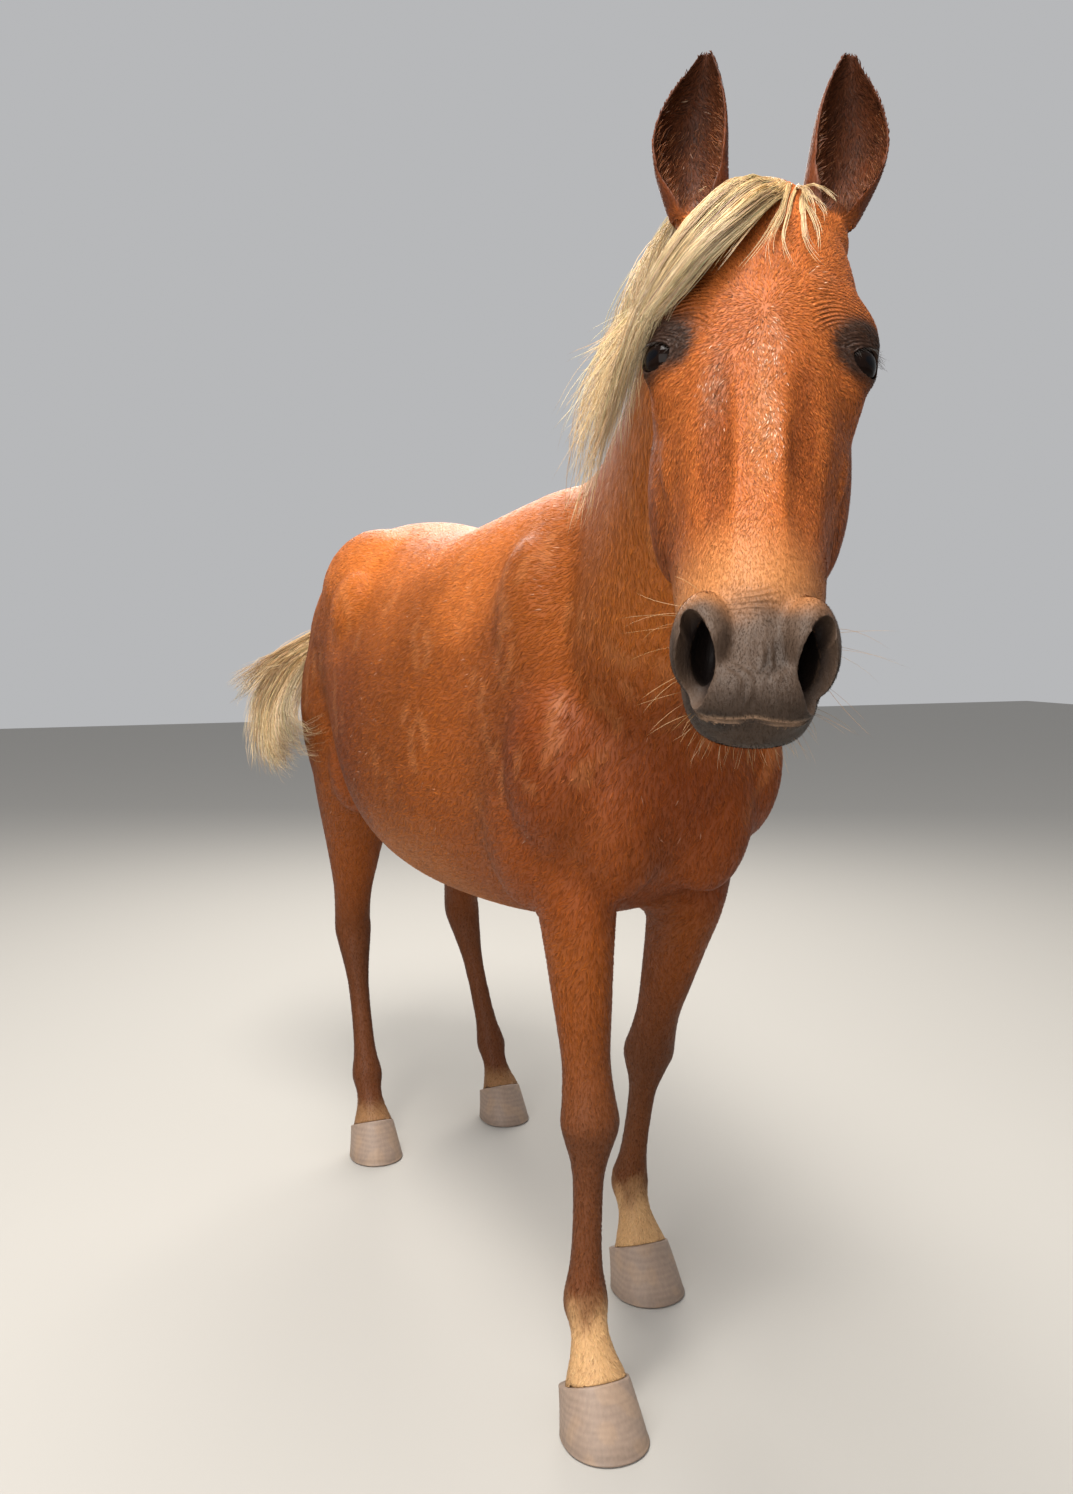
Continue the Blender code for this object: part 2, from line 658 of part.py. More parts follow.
def eye_frame(side):
    """Where an eyeball sits: centre, outward axis, direction to the inner corner, and up."""
    frame = HEAD_PLACE.to_3x3().normalized()
    x, y, z = EYE_CENTRE
    axis = (frame @ Vector((0.76 * side, -0.64, 0.05))).normalized()
    up = frame @ Vector((0.0, -0.10, 1.0))
    up = (up - axis * up.dot(axis)).normalized()
    return HEAD_PLACE @ Vector((x * side, y, z)), axis, axis.cross(up) * side, up


def over_eye(point, eye):
    """Push a point of the head out over an eyeball by the thickness of the lids."""
    centre, axis, corner, up = eye
    ray = point - centre
    reach = ray.length
    if reach > 0.06 or ray.dot(axis) < -0.004:
        return point
    lids = EYE_RADIUS + LID_SHELL
    blend = max(0.0, LID_BLEND - abs(reach - lids)) / LID_BLEND
    return centre + ray * ((max(reach, lids) + 0.25 * LID_BLEND * blend ** 2) / reach)


def shape_head(thing, eyes):
    """Raise the brows, sink the temples and draw the lids over the eyeballs."""
    inward = HEAD_PLACE.inverted()
    bm = bmesh.new()
    bm.from_mesh(thing.data)
    bm.normal_update()
    for vert in bm.verts:
        place = inward @ vert.co
        half = (abs(place.x), place.y, place.z)
        rise = sum(height * near(half, centre, reach) for centre, reach, height in HEAD_SWELLS)
        vert.co += vert.normal * rise
    for vert in bm.verts:
        for eye in eyes:
            vert.co = over_eye(vert.co, eye)
    bm.to_mesh(thing.data)
    bm.free()


def lid_opening(eye):
    """The gap between the lids: an almond, longer and lower at the inner corner."""
    centre, axis, corner, up = eye
    bm = bmesh.new()
    bmesh.ops.create_circle(bm, segments=16, radius=1.0, cap_ends=True)
    tilt = math.radians(-9.0)
    for vert in bm.verts:
        along = vert.co.x * LID_LENGTH[vert.co.x > 0]
        rise = math.copysign(abs(vert.co.y) ** 1.25, vert.co.y) * LID_RISE[vert.co.y < 0]
        across = corner * math.cos(tilt) + up * math.sin(tilt)
        upward = up * math.cos(tilt) - corner * math.sin(tilt)
        vert.co = centre + axis * 0.005 + across * along + upward * rise
    far = bmesh.ops.extrude_face_region(bm, geom=bm.faces[:])
    moved = [item for item in far["geom"] if isinstance(item, bmesh.types.BMVert)]
    bmesh.ops.translate(bm, verts=moved, vec=axis * 0.045)
    bmesh.ops.recalc_face_normals(bm, faces=bm.faces)
    return as_object("opening", bm)


def mouth_line(skin):
    """A thin bar along the meeting of the lips, to be cut from the muzzle."""
    points = []
    for x, y, z in ((0.056, 0.078, -0.480), (0.056, 0.060, -0.502), (0.052, 0.044, -0.526),
                    (0.040, 0.034, -0.552), (0.022, 0.030, -0.568), (0.0, 0.028, -0.570)):
        points.append(Vector((x, y, z)))
    points += [Vector((-point.x, point.y, point.z)) for point in reversed(points[:-1])]
    line = [skin.find_nearest(HEAD_PLACE @ point)[0] for point in points]
    return tube("mouth", line, 0.0024, 4)


def nostril(side):
    """The hollow of a nostril, a tall comma."""
    return [
        as_object("nostril", muscle((0.0475 * side, -0.006, -0.500), (0.0165, 0.032, 0.034),
                                    (0, -10 * side, 18 * side), HEAD_PLACE, 6)),
        as_object("nostril", muscle((0.040 * side, -0.004, -0.468), (0.0085, 0.022, 0.024),
                                    (0, 30 * side, 16 * side), HEAD_PLACE, 5)),
    ]


# Ear, from base to tip: half width, how far the shell wraps round (degrees), lean towards the other ear
EAR_FORM = (
    (0.024, 172.0, 0.000),
    (0.029, 148.0, -0.003),
    (0.034, 118.0, -0.006),
    (0.035, 101.0, -0.006),
    (0.030, 92.0, -0.002),
    (0.019, 84.0, 0.005),
    (0.0035, 76.0, 0.014),
)


def ear(name, side):
    """An ear: a rolled leaf, open to the front, with its base run into the head."""
    base = Vector((0.060 * side, 0.060, -0.012))
    axis = Vector((0.12 * side + 0.030, -0.44, 0.89)).normalized()
    opening = Vector((0.20 * side, -1.0, 0.0))
    opening = (opening - axis * opening.dot(axis)).normalized()
    across = opening.cross(axis)
    inward = across if across.x * side < 0 else -across
    rows = np.array(EAR_FORM)
    bm = bmesh.new()
    bmesh.ops.create_grid(bm, x_segments=10, y_segments=8, size=0.5)
    for vert in bm.verts:
        place = vert.co.y + 0.5
        wide, wrap, lean = spline(rows, place)
        angle = 2.0 * vert.co.x * math.radians(wrap)
        centre = base + axis * EAR_LENGTH * (place ** 0.94) + inward * lean
        spread = across * math.sin(angle) * wide
        vert.co = HEAD_PLACE @ (centre + spread - opening * math.cos(angle) * wide)
    bmesh.ops.recalc_face_normals(bm, faces=bm.faces)
    shell = as_object(name, bm)
    wall = shell.modifiers.new("wall", "SOLIDIFY")
    wall.thickness = EAR_SKIN
    wall.offset = 0.0
    shell = evaluated(shell, name)
    root = muscle(base + axis * 0.004, (0.0225, 0.0225, 0.022), place=HEAD_PLACE, fineness=6)
    return boolean(shell, [as_object("root", root)], "UNION", name)


def inflated(thing, by):
    """A copy of an object, a little fatter all over."""
    bm = bmesh.new()
    bm.from_mesh(thing.data)
    bm.normal_update()
    moved = [vert.co + vert.normal * by * vert.calc_shell_factor() for vert in bm.verts]
    for vert, place in zip(bm.verts, moved):
        vert.co = place
    return as_object("inflated", bm)


def off_skin(skin, point, lift):
    """Move a point out of the surface, to stand at least a lift above it."""
    near, out, _, gap = skin.find_nearest(point)
    inside = (point - near).dot(out) < 0.0
    if inside or gap < lift:
        return near + out * lift, out
    return point, (point - near).normalized()


def lead(skin, path, steps, lift, layer=0.0):
    """Lead a lock along a path from its root, kept above the surface and raised by its layer."""
    rows = np.array([tuple(point) for point in path])
    points = []
    outs = []
    for step in range(steps + 1):
        point = Vector(spline(rows, step / steps))
        moved, out = off_skin(skin, point, lift)
        points.append(point if step == 0 else moved + out * layer * min(1.0, 2.0 * step / steps))
        outs.append(out)
    outs[0] = outs[1]
    return points, outs


def lock(points, outs, width, thick):
    """A flat lock that tapers to its tip, lying along points with its broad side to outs."""
    bm = bmesh.new()
    last = len(points) - 1
    bmesh.ops.create_grid(bm, x_segments=4, y_segments=last, size=0.5)
    for vert in bm.verts:
        corner = round((vert.co.x + 0.5) * 4) % 4
        index = round((vert.co.y + 0.5) * last)
        t = index / last
        ahead = (points[min(index + 1, last)] - points[max(index - 1, 0)]).normalized()
        side = ahead.cross(outs[index]).normalized()
        out = side.cross(ahead)
        half = 0.5 * width * (0.55 + 0.55 * math.sin(math.pi * min(1.0, t * 1.2))) * (1.0 - t ** 4)
        half = max(half, 0.0008)
        deep = 0.5 * thick * (1.0 - 0.80 * t * t)
        spread = (side * half, out * deep, side * -half, out * -deep)
        vert.co = points[index] + spread[corner]
    bmesh.ops.remove_doubles(bm, verts=bm.verts, dist=0.00002)
    bmesh.ops.holes_fill(bm, edges=bm.edges, sides=0)
    bmesh.ops.recalc_face_normals(bm, faces=bm.faces)
    bmesh.ops.triangulate(bm, faces=bm.faces)
    return as_object("lock", bm)


def jitter(point, by):
    """Shift a point by a small random step."""
    return Vector(point) + Vector([draw.uniform(-by, by) for _ in range(3)])


def forelock(skin):
    """The locks that sweep from the poll over the right brow, and the wisps on the forehead."""
    guides = np.array(FORELOCK)
    locks = []
    for index in range(FORELOCK_LOCKS):
        across = (index + 0.5) / FORELOCK_LOCKS
        path = [jitter(spline(guides[:, row], across), 0.002 * row) for row in range(guides.shape[1])]
        path = path[:len(path) - (index % 3 == 0)]
        path = [HEAD_PLACE @ point for point in path]
        points, outs = lead(skin, path, 6, 0.006, 0.008 * (index % 2))
        locks.append(lock(points, outs, 0.034, 0.006))
    for start, end in WISPS:
        middle = Vector(start).lerp(Vector(end), 0.4) + Vector((0.0, -0.02, 0.0))
        path = [HEAD_PLACE @ Vector(point) for point in (start, middle, end)]
        points, outs = lead(skin, path, 4, 0.0045)
        locks.append(lock(points, outs, 0.012, 0.005))
    return locks


def mane(skin):
    """Locks rooted along the crest: the upper ones fall to the right, the lower ones to the left."""
    crest = np.array(NECK)
    locks = []
    for index in range(MANE_LOCKS):
        place = MANE_START + (MANE_END - MANE_START) * index / (MANE_LOCKS - 1)
        row, centre, right, up = section(crest, place, UP)
        root = centre + up * (row[4] - 0.022)
        side = right if place > MANE_TURN else -right
        long = (0.86 if place > MANE_TURN else 0.55) * draw.uniform(0.82, 1.1)
        wide = MANE_SPREAD * draw.uniform(0.9, 1.15) * (1.0 if place > MANE_TURN else 0.55)
        path = [root]
        for out, drop in zip(MANE_OUT[1:], MANE_DROP[1:]):
            step = root + up * 0.022 + side * out * wide - UP * drop * long
            path.append(jitter(step, 0.006))
        points, outs = lead(skin, path, 6, 0.006, 0.009 * (index % 2))
        locks.append(lock(points, outs, MANE_WIDTH, 0.007))
    return locks


def tail_hair(skin):
    """Locks rooted along the dock, swung out to the right and hanging behind the right thigh."""
    guides = np.array(TAIL_FALL)
    locks = []
    for index in range(TAIL_LOCKS):
        across = (index * TAIL_STRIDE % TAIL_LOCKS) / (TAIL_LOCKS - 1)
        path = [Vector(spline(guides[:, 0], across))]
        for row in range(1, guides.shape[1]):
            path.append(jitter(spline(guides[:, row], across), 0.003 + 0.004 * row))
        points, outs = lead(skin, path, 6, 0.011, 0.014 * (index % 3))
        locks.append(lock(points, outs, TAIL_WIDTH * draw.uniform(0.8, 1.2), 0.009))
    return locks


COAT = (0.42, 0.155, 0.045)
LEG_COAT = (0.26, 0.095, 0.040)
HORN = (0.30, 0.22, 0.17)
EYE_COLOUR = (0.015, 0.010, 0.008)
EAR_COLOUR = (0.22, 0.075, 0.035)
TAIL_COLOUR = (0.62, 0.45, 0.24)

for old in list(bpy.data.objects):
    bpy.data.objects.remove(old)
pony = bpy.data.collections.new("pony")
bpy.context.scene.collection.children.link(pony)

# The whole body, then its pieces parted off
torso = melt("torso", body_shapes() + head_shapes(), BODY_VOXEL, BODY_ROUNDS, softness)
torso = coarsen(torso, BODY_FACES)
throat_point, throat_out = THROAT
neck_point, neck_back = NECK_BASE
neck, torso = part_off(torso, "neck", [(neck_point, neck_back)])
trim(neck, throat_point, throat_out)
largest(neck)
dock_point, dock_forward = DOCK_BASE
tail, torso = part_off(torso, "tail", [(dock_point, dock_forward), (Vector((0, 0, 1.0)), -UP)])
pieces = {}
for leg_name, (leg_side, leg_form, leg_joints) in LEGS.items():
    leg, torso = part_off(torso, leg_name, leg_cuts(leg_name))
    coronet_point, coronet_down = coronet_plane(leg_joints)
    trim(leg, coronet_point, coronet_down)
    finish(largest(leg), LEG_COAT, 0.7)
    kind = leg_name.split("_")[0]
    foot = hoof(leg_name.replace("leg", "hoof"), HOOF_SIZES[kind], leg_joints)
    finish(foot, HORN, 0.6)

# The head, melted finer, and what is cut into it or set in it
neck_end = loft(NECK[5:], around=28, front=UP)
head = melt("head", head_shapes() + [neck_end], HEAD_VOXEL, HEAD_ROUNDS, head_softness)
eyes = {side: eye_frame(side) for side in (RIGHT, LEFT)}
shape_head(head, eyes.values())
head = coarsen(head, HEAD_FACES)
trim(head, throat_point + throat_out * GAP, -throat_out)
largest(head)
skin = surface_of([head])
sockets = [mouth_line(skin)]
for eye in eyes.values():
    sockets.append(as_object("socket", muscle(eye[0], (EYE_RADIUS + GAP,) * 3, fineness=8)))
    sockets.append(lid_opening(eye))
for side in (RIGHT, LEFT):
    sockets += nostril(side)
head = boolean(head, sockets, "DIFFERENCE")

# Forelock, ears, mane and tail
head = boolean(head, forelock(surface_of([head])), "UNION")
for side, name in ((RIGHT, "right"), (LEFT, "left")):
    ball = as_object("eye_" + name, muscle(eyes[side][0], (EYE_RADIUS,) * 3, fineness=8))
    finish(ball, EYE_COLOUR, 0.08)
    conch = ear("ear_" + name, side)
    conch = boolean(conch, [inflated(head, GAP), inflated(head, 0.5 * GAP)], "DIFFERENCE")
    finish(conch, EAR_COLOUR, 0.75)
neck = boolean(neck, mane(surface_of([neck, torso, head])), "UNION")
neck = boolean(neck, [inflated(head, CLEAR), inflated(torso, CLEAR)], "DIFFERENCE")
thighs = [torso, pony.objects["hind_leg_right"], pony.objects["hind_leg_left"]]
tail = boolean(tail, tail_hair(surface_of(thighs)), "UNION")
tail = boolean(tail, [inflated(torso, CLEAR)], "DIFFERENCE")

finish(torso, COAT, 0.6)
finish(neck, COAT, 0.6)
finish(head, COAT, 0.6)
finish(tail, TAIL_COLOUR, 0.7)
for thing in pony.objects:
    thing.data.transform(Matrix.Translation(FLOOR_CENTRE))
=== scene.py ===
import json
import math

import bmesh
import bpy
import numpy as np
from mathutils import Matrix, Vector
from mathutils.bvhtree import BVHTree

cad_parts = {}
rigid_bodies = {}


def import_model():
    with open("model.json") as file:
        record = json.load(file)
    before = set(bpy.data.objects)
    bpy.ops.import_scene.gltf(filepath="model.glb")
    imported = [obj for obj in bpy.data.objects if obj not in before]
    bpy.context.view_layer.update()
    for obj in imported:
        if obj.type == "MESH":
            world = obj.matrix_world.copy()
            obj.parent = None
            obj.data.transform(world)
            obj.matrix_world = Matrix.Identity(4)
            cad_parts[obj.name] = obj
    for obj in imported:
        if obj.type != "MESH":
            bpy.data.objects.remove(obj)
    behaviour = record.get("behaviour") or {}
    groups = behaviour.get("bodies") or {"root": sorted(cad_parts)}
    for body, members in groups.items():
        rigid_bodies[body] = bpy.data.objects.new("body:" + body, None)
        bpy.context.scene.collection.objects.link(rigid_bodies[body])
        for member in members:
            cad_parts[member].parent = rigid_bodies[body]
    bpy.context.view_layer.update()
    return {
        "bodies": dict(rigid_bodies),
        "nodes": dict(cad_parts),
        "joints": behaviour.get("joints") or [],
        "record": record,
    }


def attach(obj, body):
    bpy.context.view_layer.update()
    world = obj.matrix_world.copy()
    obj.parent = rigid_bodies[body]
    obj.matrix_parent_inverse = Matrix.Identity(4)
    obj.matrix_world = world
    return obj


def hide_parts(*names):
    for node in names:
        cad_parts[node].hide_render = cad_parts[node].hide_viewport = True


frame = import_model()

# The pony's skin. One closed hide over the whole body, from muzzle and ears to dock and coronets,
# with lids, nostrils and the line of the mouth worked in it. It lies under the coat by the depth of
# the short hair. Sizes are worked out with the origin under the withers and moved to the frame last.
RIGHT = -1.0
LEFT = 1.0
UP = Vector((0.0, 0.0, 1.0))
FORWARD = Vector((0.0, -1.0, 0.0))

FLOOR_CENTRE = Vector((0.091, -0.081, 0.0))
POLL = Vector((-0.185, -0.808, 1.611))
HEAD_YAW = math.radians(-25.8)
HEAD_PITCH = math.radians(-29.7)
HEAD_ROLL = math.radians(3.2)
HEAD_SIZE = 1.013
EYE_RADIUS = 0.0205
EYE_PLAY = 0.0003
EYE_CENTRE = (0.0825, 0.0486, -0.188)
LID_SHELL = 0.0031
LID_BLEND = 0.020
LID_LENGTH = (0.0188, 0.0200)
LID_RISE = (0.0120, 0.0128)
LID_TILT = math.radians(-9.0)
LID_POINT = 1.25
LID_CUT_FROM = 0.005
LID_CUT_DEEP = 0.045
EYE_AXIS = (0.78, -0.62, -0.20)
LIP_LIFT = 0.009
EAR_LENGTH = 0.170
EAR_SKIN = 0.0040
EAR_TAPER = 0.94
EAR_ROOT = (0.0225, 0.0225, 0.022)
EAR_ROOT_RISE = 0.004

HEAD_PLACE = (
    Matrix.Translation(POLL)
    @ Matrix.Rotation(HEAD_YAW, 4, "Z")
    @ Matrix.Rotation(HEAD_PITCH, 4, "X")
    @ Matrix.Rotation(HEAD_ROLL, 4, "Y")
    @ Matrix.Scale(HEAD_SIZE, 4)
)

# Trunk: y, height of the widest line, half width, rise above it, drop below it, how pear-shaped,
# and x of the middle
TRUNK = (
    (-0.335, 1.000, 0.050, 0.050, 0.050, 0.00, 0.000),
    (-0.300, 1.000, 0.120, 0.130, 0.125, 0.00, 0.000),
    (-0.240, 1.010, 0.165, 0.220, 0.205, 0.00, 0.000),
    (-0.160, 1.030, 0.190, 0.300, 0.270, 0.05, 0.000),
    (-0.070, 1.030, 0.202, 0.362, 0.300, 0.10, 0.000),
    (0.030, 1.010, 0.215, 0.402, 0.305, 0.14, 0.000),
    (0.140, 0.990, 0.240, 0.412, 0.300, 0.12, -0.002),
    (0.260, 0.975, 0.266, 0.410, 0.292, 0.08, -0.006),
    (0.380, 0.970, 0.282, 0.400, 0.286, 0.06, -0.012),
    (0.500, 0.985, 0.285, 0.388, 0.283, 0.04, -0.018),
    (0.610, 1.020, 0.272, 0.368, 0.262, 0.00, -0.024),
    (0.720, 1.080, 0.256, 0.325, 0.240, -0.04, -0.030),
    (0.830, 1.110, 0.250, 0.292, 0.235, -0.04, -0.034),
    (0.930, 1.120, 0.236, 0.250, 0.225, 0.00, -0.036),
    (1.020, 1.120, 0.196, 0.196, 0.205, 0.00, -0.036),
    (1.085, 1.110, 0.128, 0.120, 0.160, 0.00, -0.034),
    (1.115, 1.100, 0.050, 0.050, 0.070, 0.00, -0.032),
)

# Neck: x, y, z of its axis, half width, reach up to the crest, reach down to the throat, pear
NECK = (
    (0.000, 0.060, 1.060, 0.110, 0.306, 0.240, 0.25),
    (0.000, -0.070, 1.110, 0.124, 0.312, 0.235, 0.30),
    (-0.018, -0.190, 1.170, 0.112, 0.314, 0.205, 0.30),
    (-0.050, -0.310, 1.245, 0.094, 0.288, 0.175, 0.28),
    (-0.084, -0.430, 1.325, 0.080, 0.252, 0.148, 0.24),
    (-0.118, -0.540, 1.400, 0.072, 0.208, 0.128, 0.18),
    (-0.148, -0.640, 1.465, 0.068, 0.158, 0.120, 0.08),
    (-0.172, -0.735, 1.520, 0.066, 0.112, 0.115, 0.00),
    (-0.186, -0.790, 1.545, 0.050, 0.080, 0.090, 0.00),
)

# Head, in its own frame: z below the poll, y of the widest line, half width, reach to the face,
# reach to the jaw, pear
HEAD = (
    (0.020, 0.070, 0.022, 0.022, 0.022, 0.00),
    (0.004, 0.068, 0.054, 0.056, 0.050, 0.00),
    (-0.040, 0.075, 0.080, 0.073, 0.085, 0.00),
    (-0.090, 0.082, 0.092, 0.083, 0.120, -0.03),
    (-0.140, 0.087, 0.096, 0.088, 0.148, -0.05),
    (-0.190, 0.092, 0.096, 0.092, 0.156, 0.00),
    (-0.240, 0.098, 0.089, 0.097, 0.142, 0.08),
    (-0.290, 0.100, 0.083, 0.098, 0.116, 0.14),
    (-0.340, 0.094, 0.073, 0.091, 0.092, 0.16),
    (-0.390, 0.082, 0.066, 0.079, 0.075, 0.16),
    (-0.435, 0.070, 0.062, 0.069, 0.066, 0.12),
    (-0.480, 0.062, 0.056, 0.063, 0.060, 0.04),
    (-0.515, 0.052, 0.055, 0.056, 0.054, 0.00),
    (-0.545, 0.040, 0.046, 0.044, 0.044, 0.00),
    (-0.565, 0.030, 0.032, 0.028, 0.026, 0.00),
    (-0.575, 0.026, 0.014, 0.010, 0.010, 0.00),
)

# Masses of one half of the head: centre and half sizes
HEAD_MASSES = (
    ((0.061, 0.145, -0.245), (0.034, 0.082, 0.108)),
    ((0.073, 0.082, -0.262), (0.012, 0.018, 0.052)),
    ((0.052, 0.066, -0.028), (0.032, 0.036, 0.034)),
    ((0.041, 0.020, -0.492), (0.026, 0.034, 0.046)),
    ((0.014, 0.021, -0.540), (0.036, 0.028, 0.033)),
    ((0.012, 0.052, -0.540), (0.030, 0.028, 0.020)),
    ((0.004, 0.084, -0.508), (0.030, 0.032, 0.027)),
)

# Swellings and hollows of one half of the head: centre, reach to the sides, back and up, and height
HEAD_SWELLS = (
    ((0.086, 0.052, -0.154), (0.046, 0.062, 0.058), 0.017),
    ((0.060, 0.070, -0.105), (0.026, 0.034, 0.034), -0.006),
    ((0.084, 0.030, -0.168), (0.030, 0.040, 0.016), 0.0055),
    ((0.084, 0.056, -0.216), (0.034, 0.048, 0.040), 0.0070),
    ((0.036, 0.020, -0.310), (0.022, 0.060, 0.120), -0.0050),
    ((0.056, 0.045, -0.268), (0.018, 0.030, 0.075), 0.0030),
    ((0.064, 0.090, -0.330), (0.024, 0.050, 0.080), -0.0040),
    ((0.020, 0.000, -0.330), (0.012, 0.050, 0.130), 0.0016),
    ((0.016, 0.010, -0.505), (0.010, 0.030, 0.045), -0.0020),
    ((0.000, 0.018, -0.548), (0.020, 0.030, 0.016), 0.0022),
    ((0.034, -0.006, -0.500), (0.015, 0.034, 0.024), 0.0036),
    ((0.000, 0.064, -0.562), (0.050, 0.034, 0.030), -0.0070),
)

# Legs: place along the joints (0 top, 1 elbow or stifle, 2 knee or hock, 3 fetlock, 4 coronet),
# half width, front, back
FORELEG_FORM = (
    (0.00, 0.058, 0.070, 0.070),
    (0.60, 0.062, 0.080, 0.078),
    (1.00, 0.058, 0.076, 0.080),
    (1.25, 0.050, 0.064, 0.066),
    (1.50, 0.043, 0.052, 0.052),
    (1.72, 0.038, 0.041, 0.040),
    (1.88, 0.042, 0.042, 0.038),
    (2.00, 0.047, 0.045, 0.042),
    (2.12, 0.038, 0.036, 0.036),
    (2.28, 0.026, 0.026, 0.031),
    (2.55, 0.0235, 0.024, 0.030),
    (2.80, 0.026, 0.026, 0.033),
    (3.00, 0.036, 0.034, 0.040),
    (3.30, 0.030, 0.029, 0.033),
    (3.60, 0.034, 0.031, 0.034),
    (4.00, 0.049, 0.046, 0.044),
    (4.25, 0.052, 0.050, 0.044),
)
HINDLEG_FORM = (
    (0.00, 0.080, 0.150, 0.170),
    (0.60, 0.092, 0.145, 0.215),
    (1.00, 0.086, 0.110, 0.215),
    (1.25, 0.074, 0.085, 0.165),
    (1.50, 0.058, 0.064, 0.115),
    (1.75, 0.044, 0.046, 0.082),
    (1.93, 0.041, 0.044, 0.064),
    (2.05, 0.043, 0.042, 0.050),
    (2.20, 0.035, 0.034, 0.038),
    (2.40, 0.0255, 0.027, 0.031),
    (2.65, 0.0240, 0.025, 0.030),
    (2.85, 0.0270, 0.027, 0.033),
    (3.00, 0.036, 0.034, 0.038),
    (3.30, 0.030, 0.028, 0.032),
    (3.60, 0.032, 0.031, 0.034),
    (4.00, 0.045, 0.044, 0.042),
    (4.25, 0.048, 0.048, 0.042),
)

# Masses of one half of the body: centre, half sizes and turn in degrees. The middle of the hind
# quarters stands a little to the right.
FORE_MASSES = (
    ((0.118, -0.095, 1.120), (0.076, 0.110, 0.215), (-20, 0, 0)),
    ((0.140, -0.190, 0.985), (0.078, 0.105, 0.135), (0, 0, 0)),
    ((0.140, -0.085, 0.905), (0.070, 0.125, 0.155), (0, 0, 0)),
    ((0.068, -0.245, 0.930), (0.078, 0.080, 0.140), (0, 0, 0)),
)
HIND_MIDDLE = -0.032
HIND_MASSES = (
    ((0.120, 0.740, 1.240), (0.125, 0.210, 0.150)),
    ((0.202, 0.605, 1.205), (0.060, 0.085, 0.090)),
    ((0.165, 0.850, 1.010), (0.106, 0.190, 0.230)),
    ((0.105, 1.020, 1.030), (0.100, 0.100, 0.210)),
    ((0.185, 0.700, 0.900), (0.064, 0.080, 0.105)),
)

# Knobs of the legs: which joint, place from it, half sizes and turn in degrees
FORELEG_KNOBS = (
    (1, (0.0, 0.070, 0.020), (0.034, 0.036, 0.050), (0, 0, 0)),
    (2, (0.0, 0.030, -0.008), (0.028, 0.022, 0.026), (0, 0, 0)),
    (3, (0.0, 0.022, -0.004), (0.026, 0.024, 0.026), (0, 0, 0)),
)
HINDLEG_KNOBS = (
    (2, (0.0, 0.058, 0.046), (0.019, 0.028, 0.062), (-12, 0, 0)),
    (3, (0.0, 0.022, -0.004), (0.026, 0.024, 0.026), (0, 0, 0)),
)

# Each leg: its side, its form, and its joints from the top to the coronet
LEGS = {
    "fore_leg_right": (RIGHT, FORELEG_FORM, (
        (-0.115, -0.130, 0.930), (-0.104, -0.175, 0.780), (-0.094, -0.205, 0.450),
        (-0.099, -0.205, 0.175), (-0.101, -0.247, 0.072))),
    "fore_leg_left": (LEFT, FORELEG_FORM, (
        (0.120, -0.130, 0.930), (0.114, -0.120, 0.780), (0.146, 0.080, 0.440),
        (0.146, 0.150, 0.172), (0.147, 0.108, 0.072))),
    "hind_leg_right": (RIGHT, HINDLEG_FORM, (
        (-0.175, 0.800, 1.060), (-0.197, 0.810, 0.860), (-0.167, 0.990, 0.500),
        (-0.160, 0.895, 0.165), (-0.160, 0.848, 0.068))),
    "hind_leg_left": (LEFT, HINDLEG_FORM, (
        (0.080, 0.850, 1.060), (0.088, 0.870, 0.860), (0.128, 1.080, 0.500),
        (0.176, 0.995, 0.165), (0.184, 0.950, 0.068))),
}

# Dock, the fleshy root of the tail: x, y, z, half width, up, down, pear
DOCK = (
    (-0.032, 0.960, 1.235, 0.044, 0.044, 0.044, 0.0),
    (-0.034, 1.050, 1.250, 0.038, 0.036, 0.038, 0.0),
    (-0.050, 1.115, 1.242, 0.030, 0.029, 0.031, 0.0),
    (-0.085, 1.160, 1.220, 0.025, 0.025, 0.026, 0.0),
    (-0.132, 1.190, 1.190, 0.021, 0.021, 0.022, 0.0),
    (-0.182, 1.200, 1.150, 0.016, 0.016, 0.017, 0.0),
    (-0.225, 1.195, 1.105, 0.008, 0.008, 0.009, 0.0),
)

# Where head and body are joined: a point on the cut and the direction across it
THROAT = (
    HEAD_PLACE @ Vector((0.0, 0.100, 0.030)),
    (HEAD_PLACE.to_3x3() @ Vector((0.0, -0.804, -0.594))).normalized(),
)

# The meeting of the lips on the left half, from the corner to the middle, in the head's frame
MOUTH = (
    (0.056, 0.078, -0.474),
    (0.056, 0.058, -0.495),
    (0.052, 0.038, -0.520),
    (0.040, 0.024, -0.547),
    (0.022, 0.014, -0.561),
    (0.000, 0.010, -0.563),
)

MOUTH_BAR = 0.0019

BODY_VOXEL = 0.0100
BODY_ROUNDS = 15
HEAD_VOXEL = 0.0026
HEAD_ROUNDS = 28
HEAD_FACES = 56000
COAT_DEPTH = 0.0018
SEAM_GAP = 0.004
SEAM_REACH = 0.030
SEAM_ROUNDS = 14
WELD = 0.00005

work = bpy.data.collections.new("work")
bpy.context.scene.collection.children.link(work)


def through(a, b, c, d, t):
    """The place t, from 0 at b to 1 at c, on a smooth curve that comes from a and goes on to d."""
    curve = 2 * b + (c - a) * t + (2 * a - 5 * b + 4 * c - d) * t * t
    return 0.5 * (curve + (3 * b - a - 3 * c + d) * t * t * t)


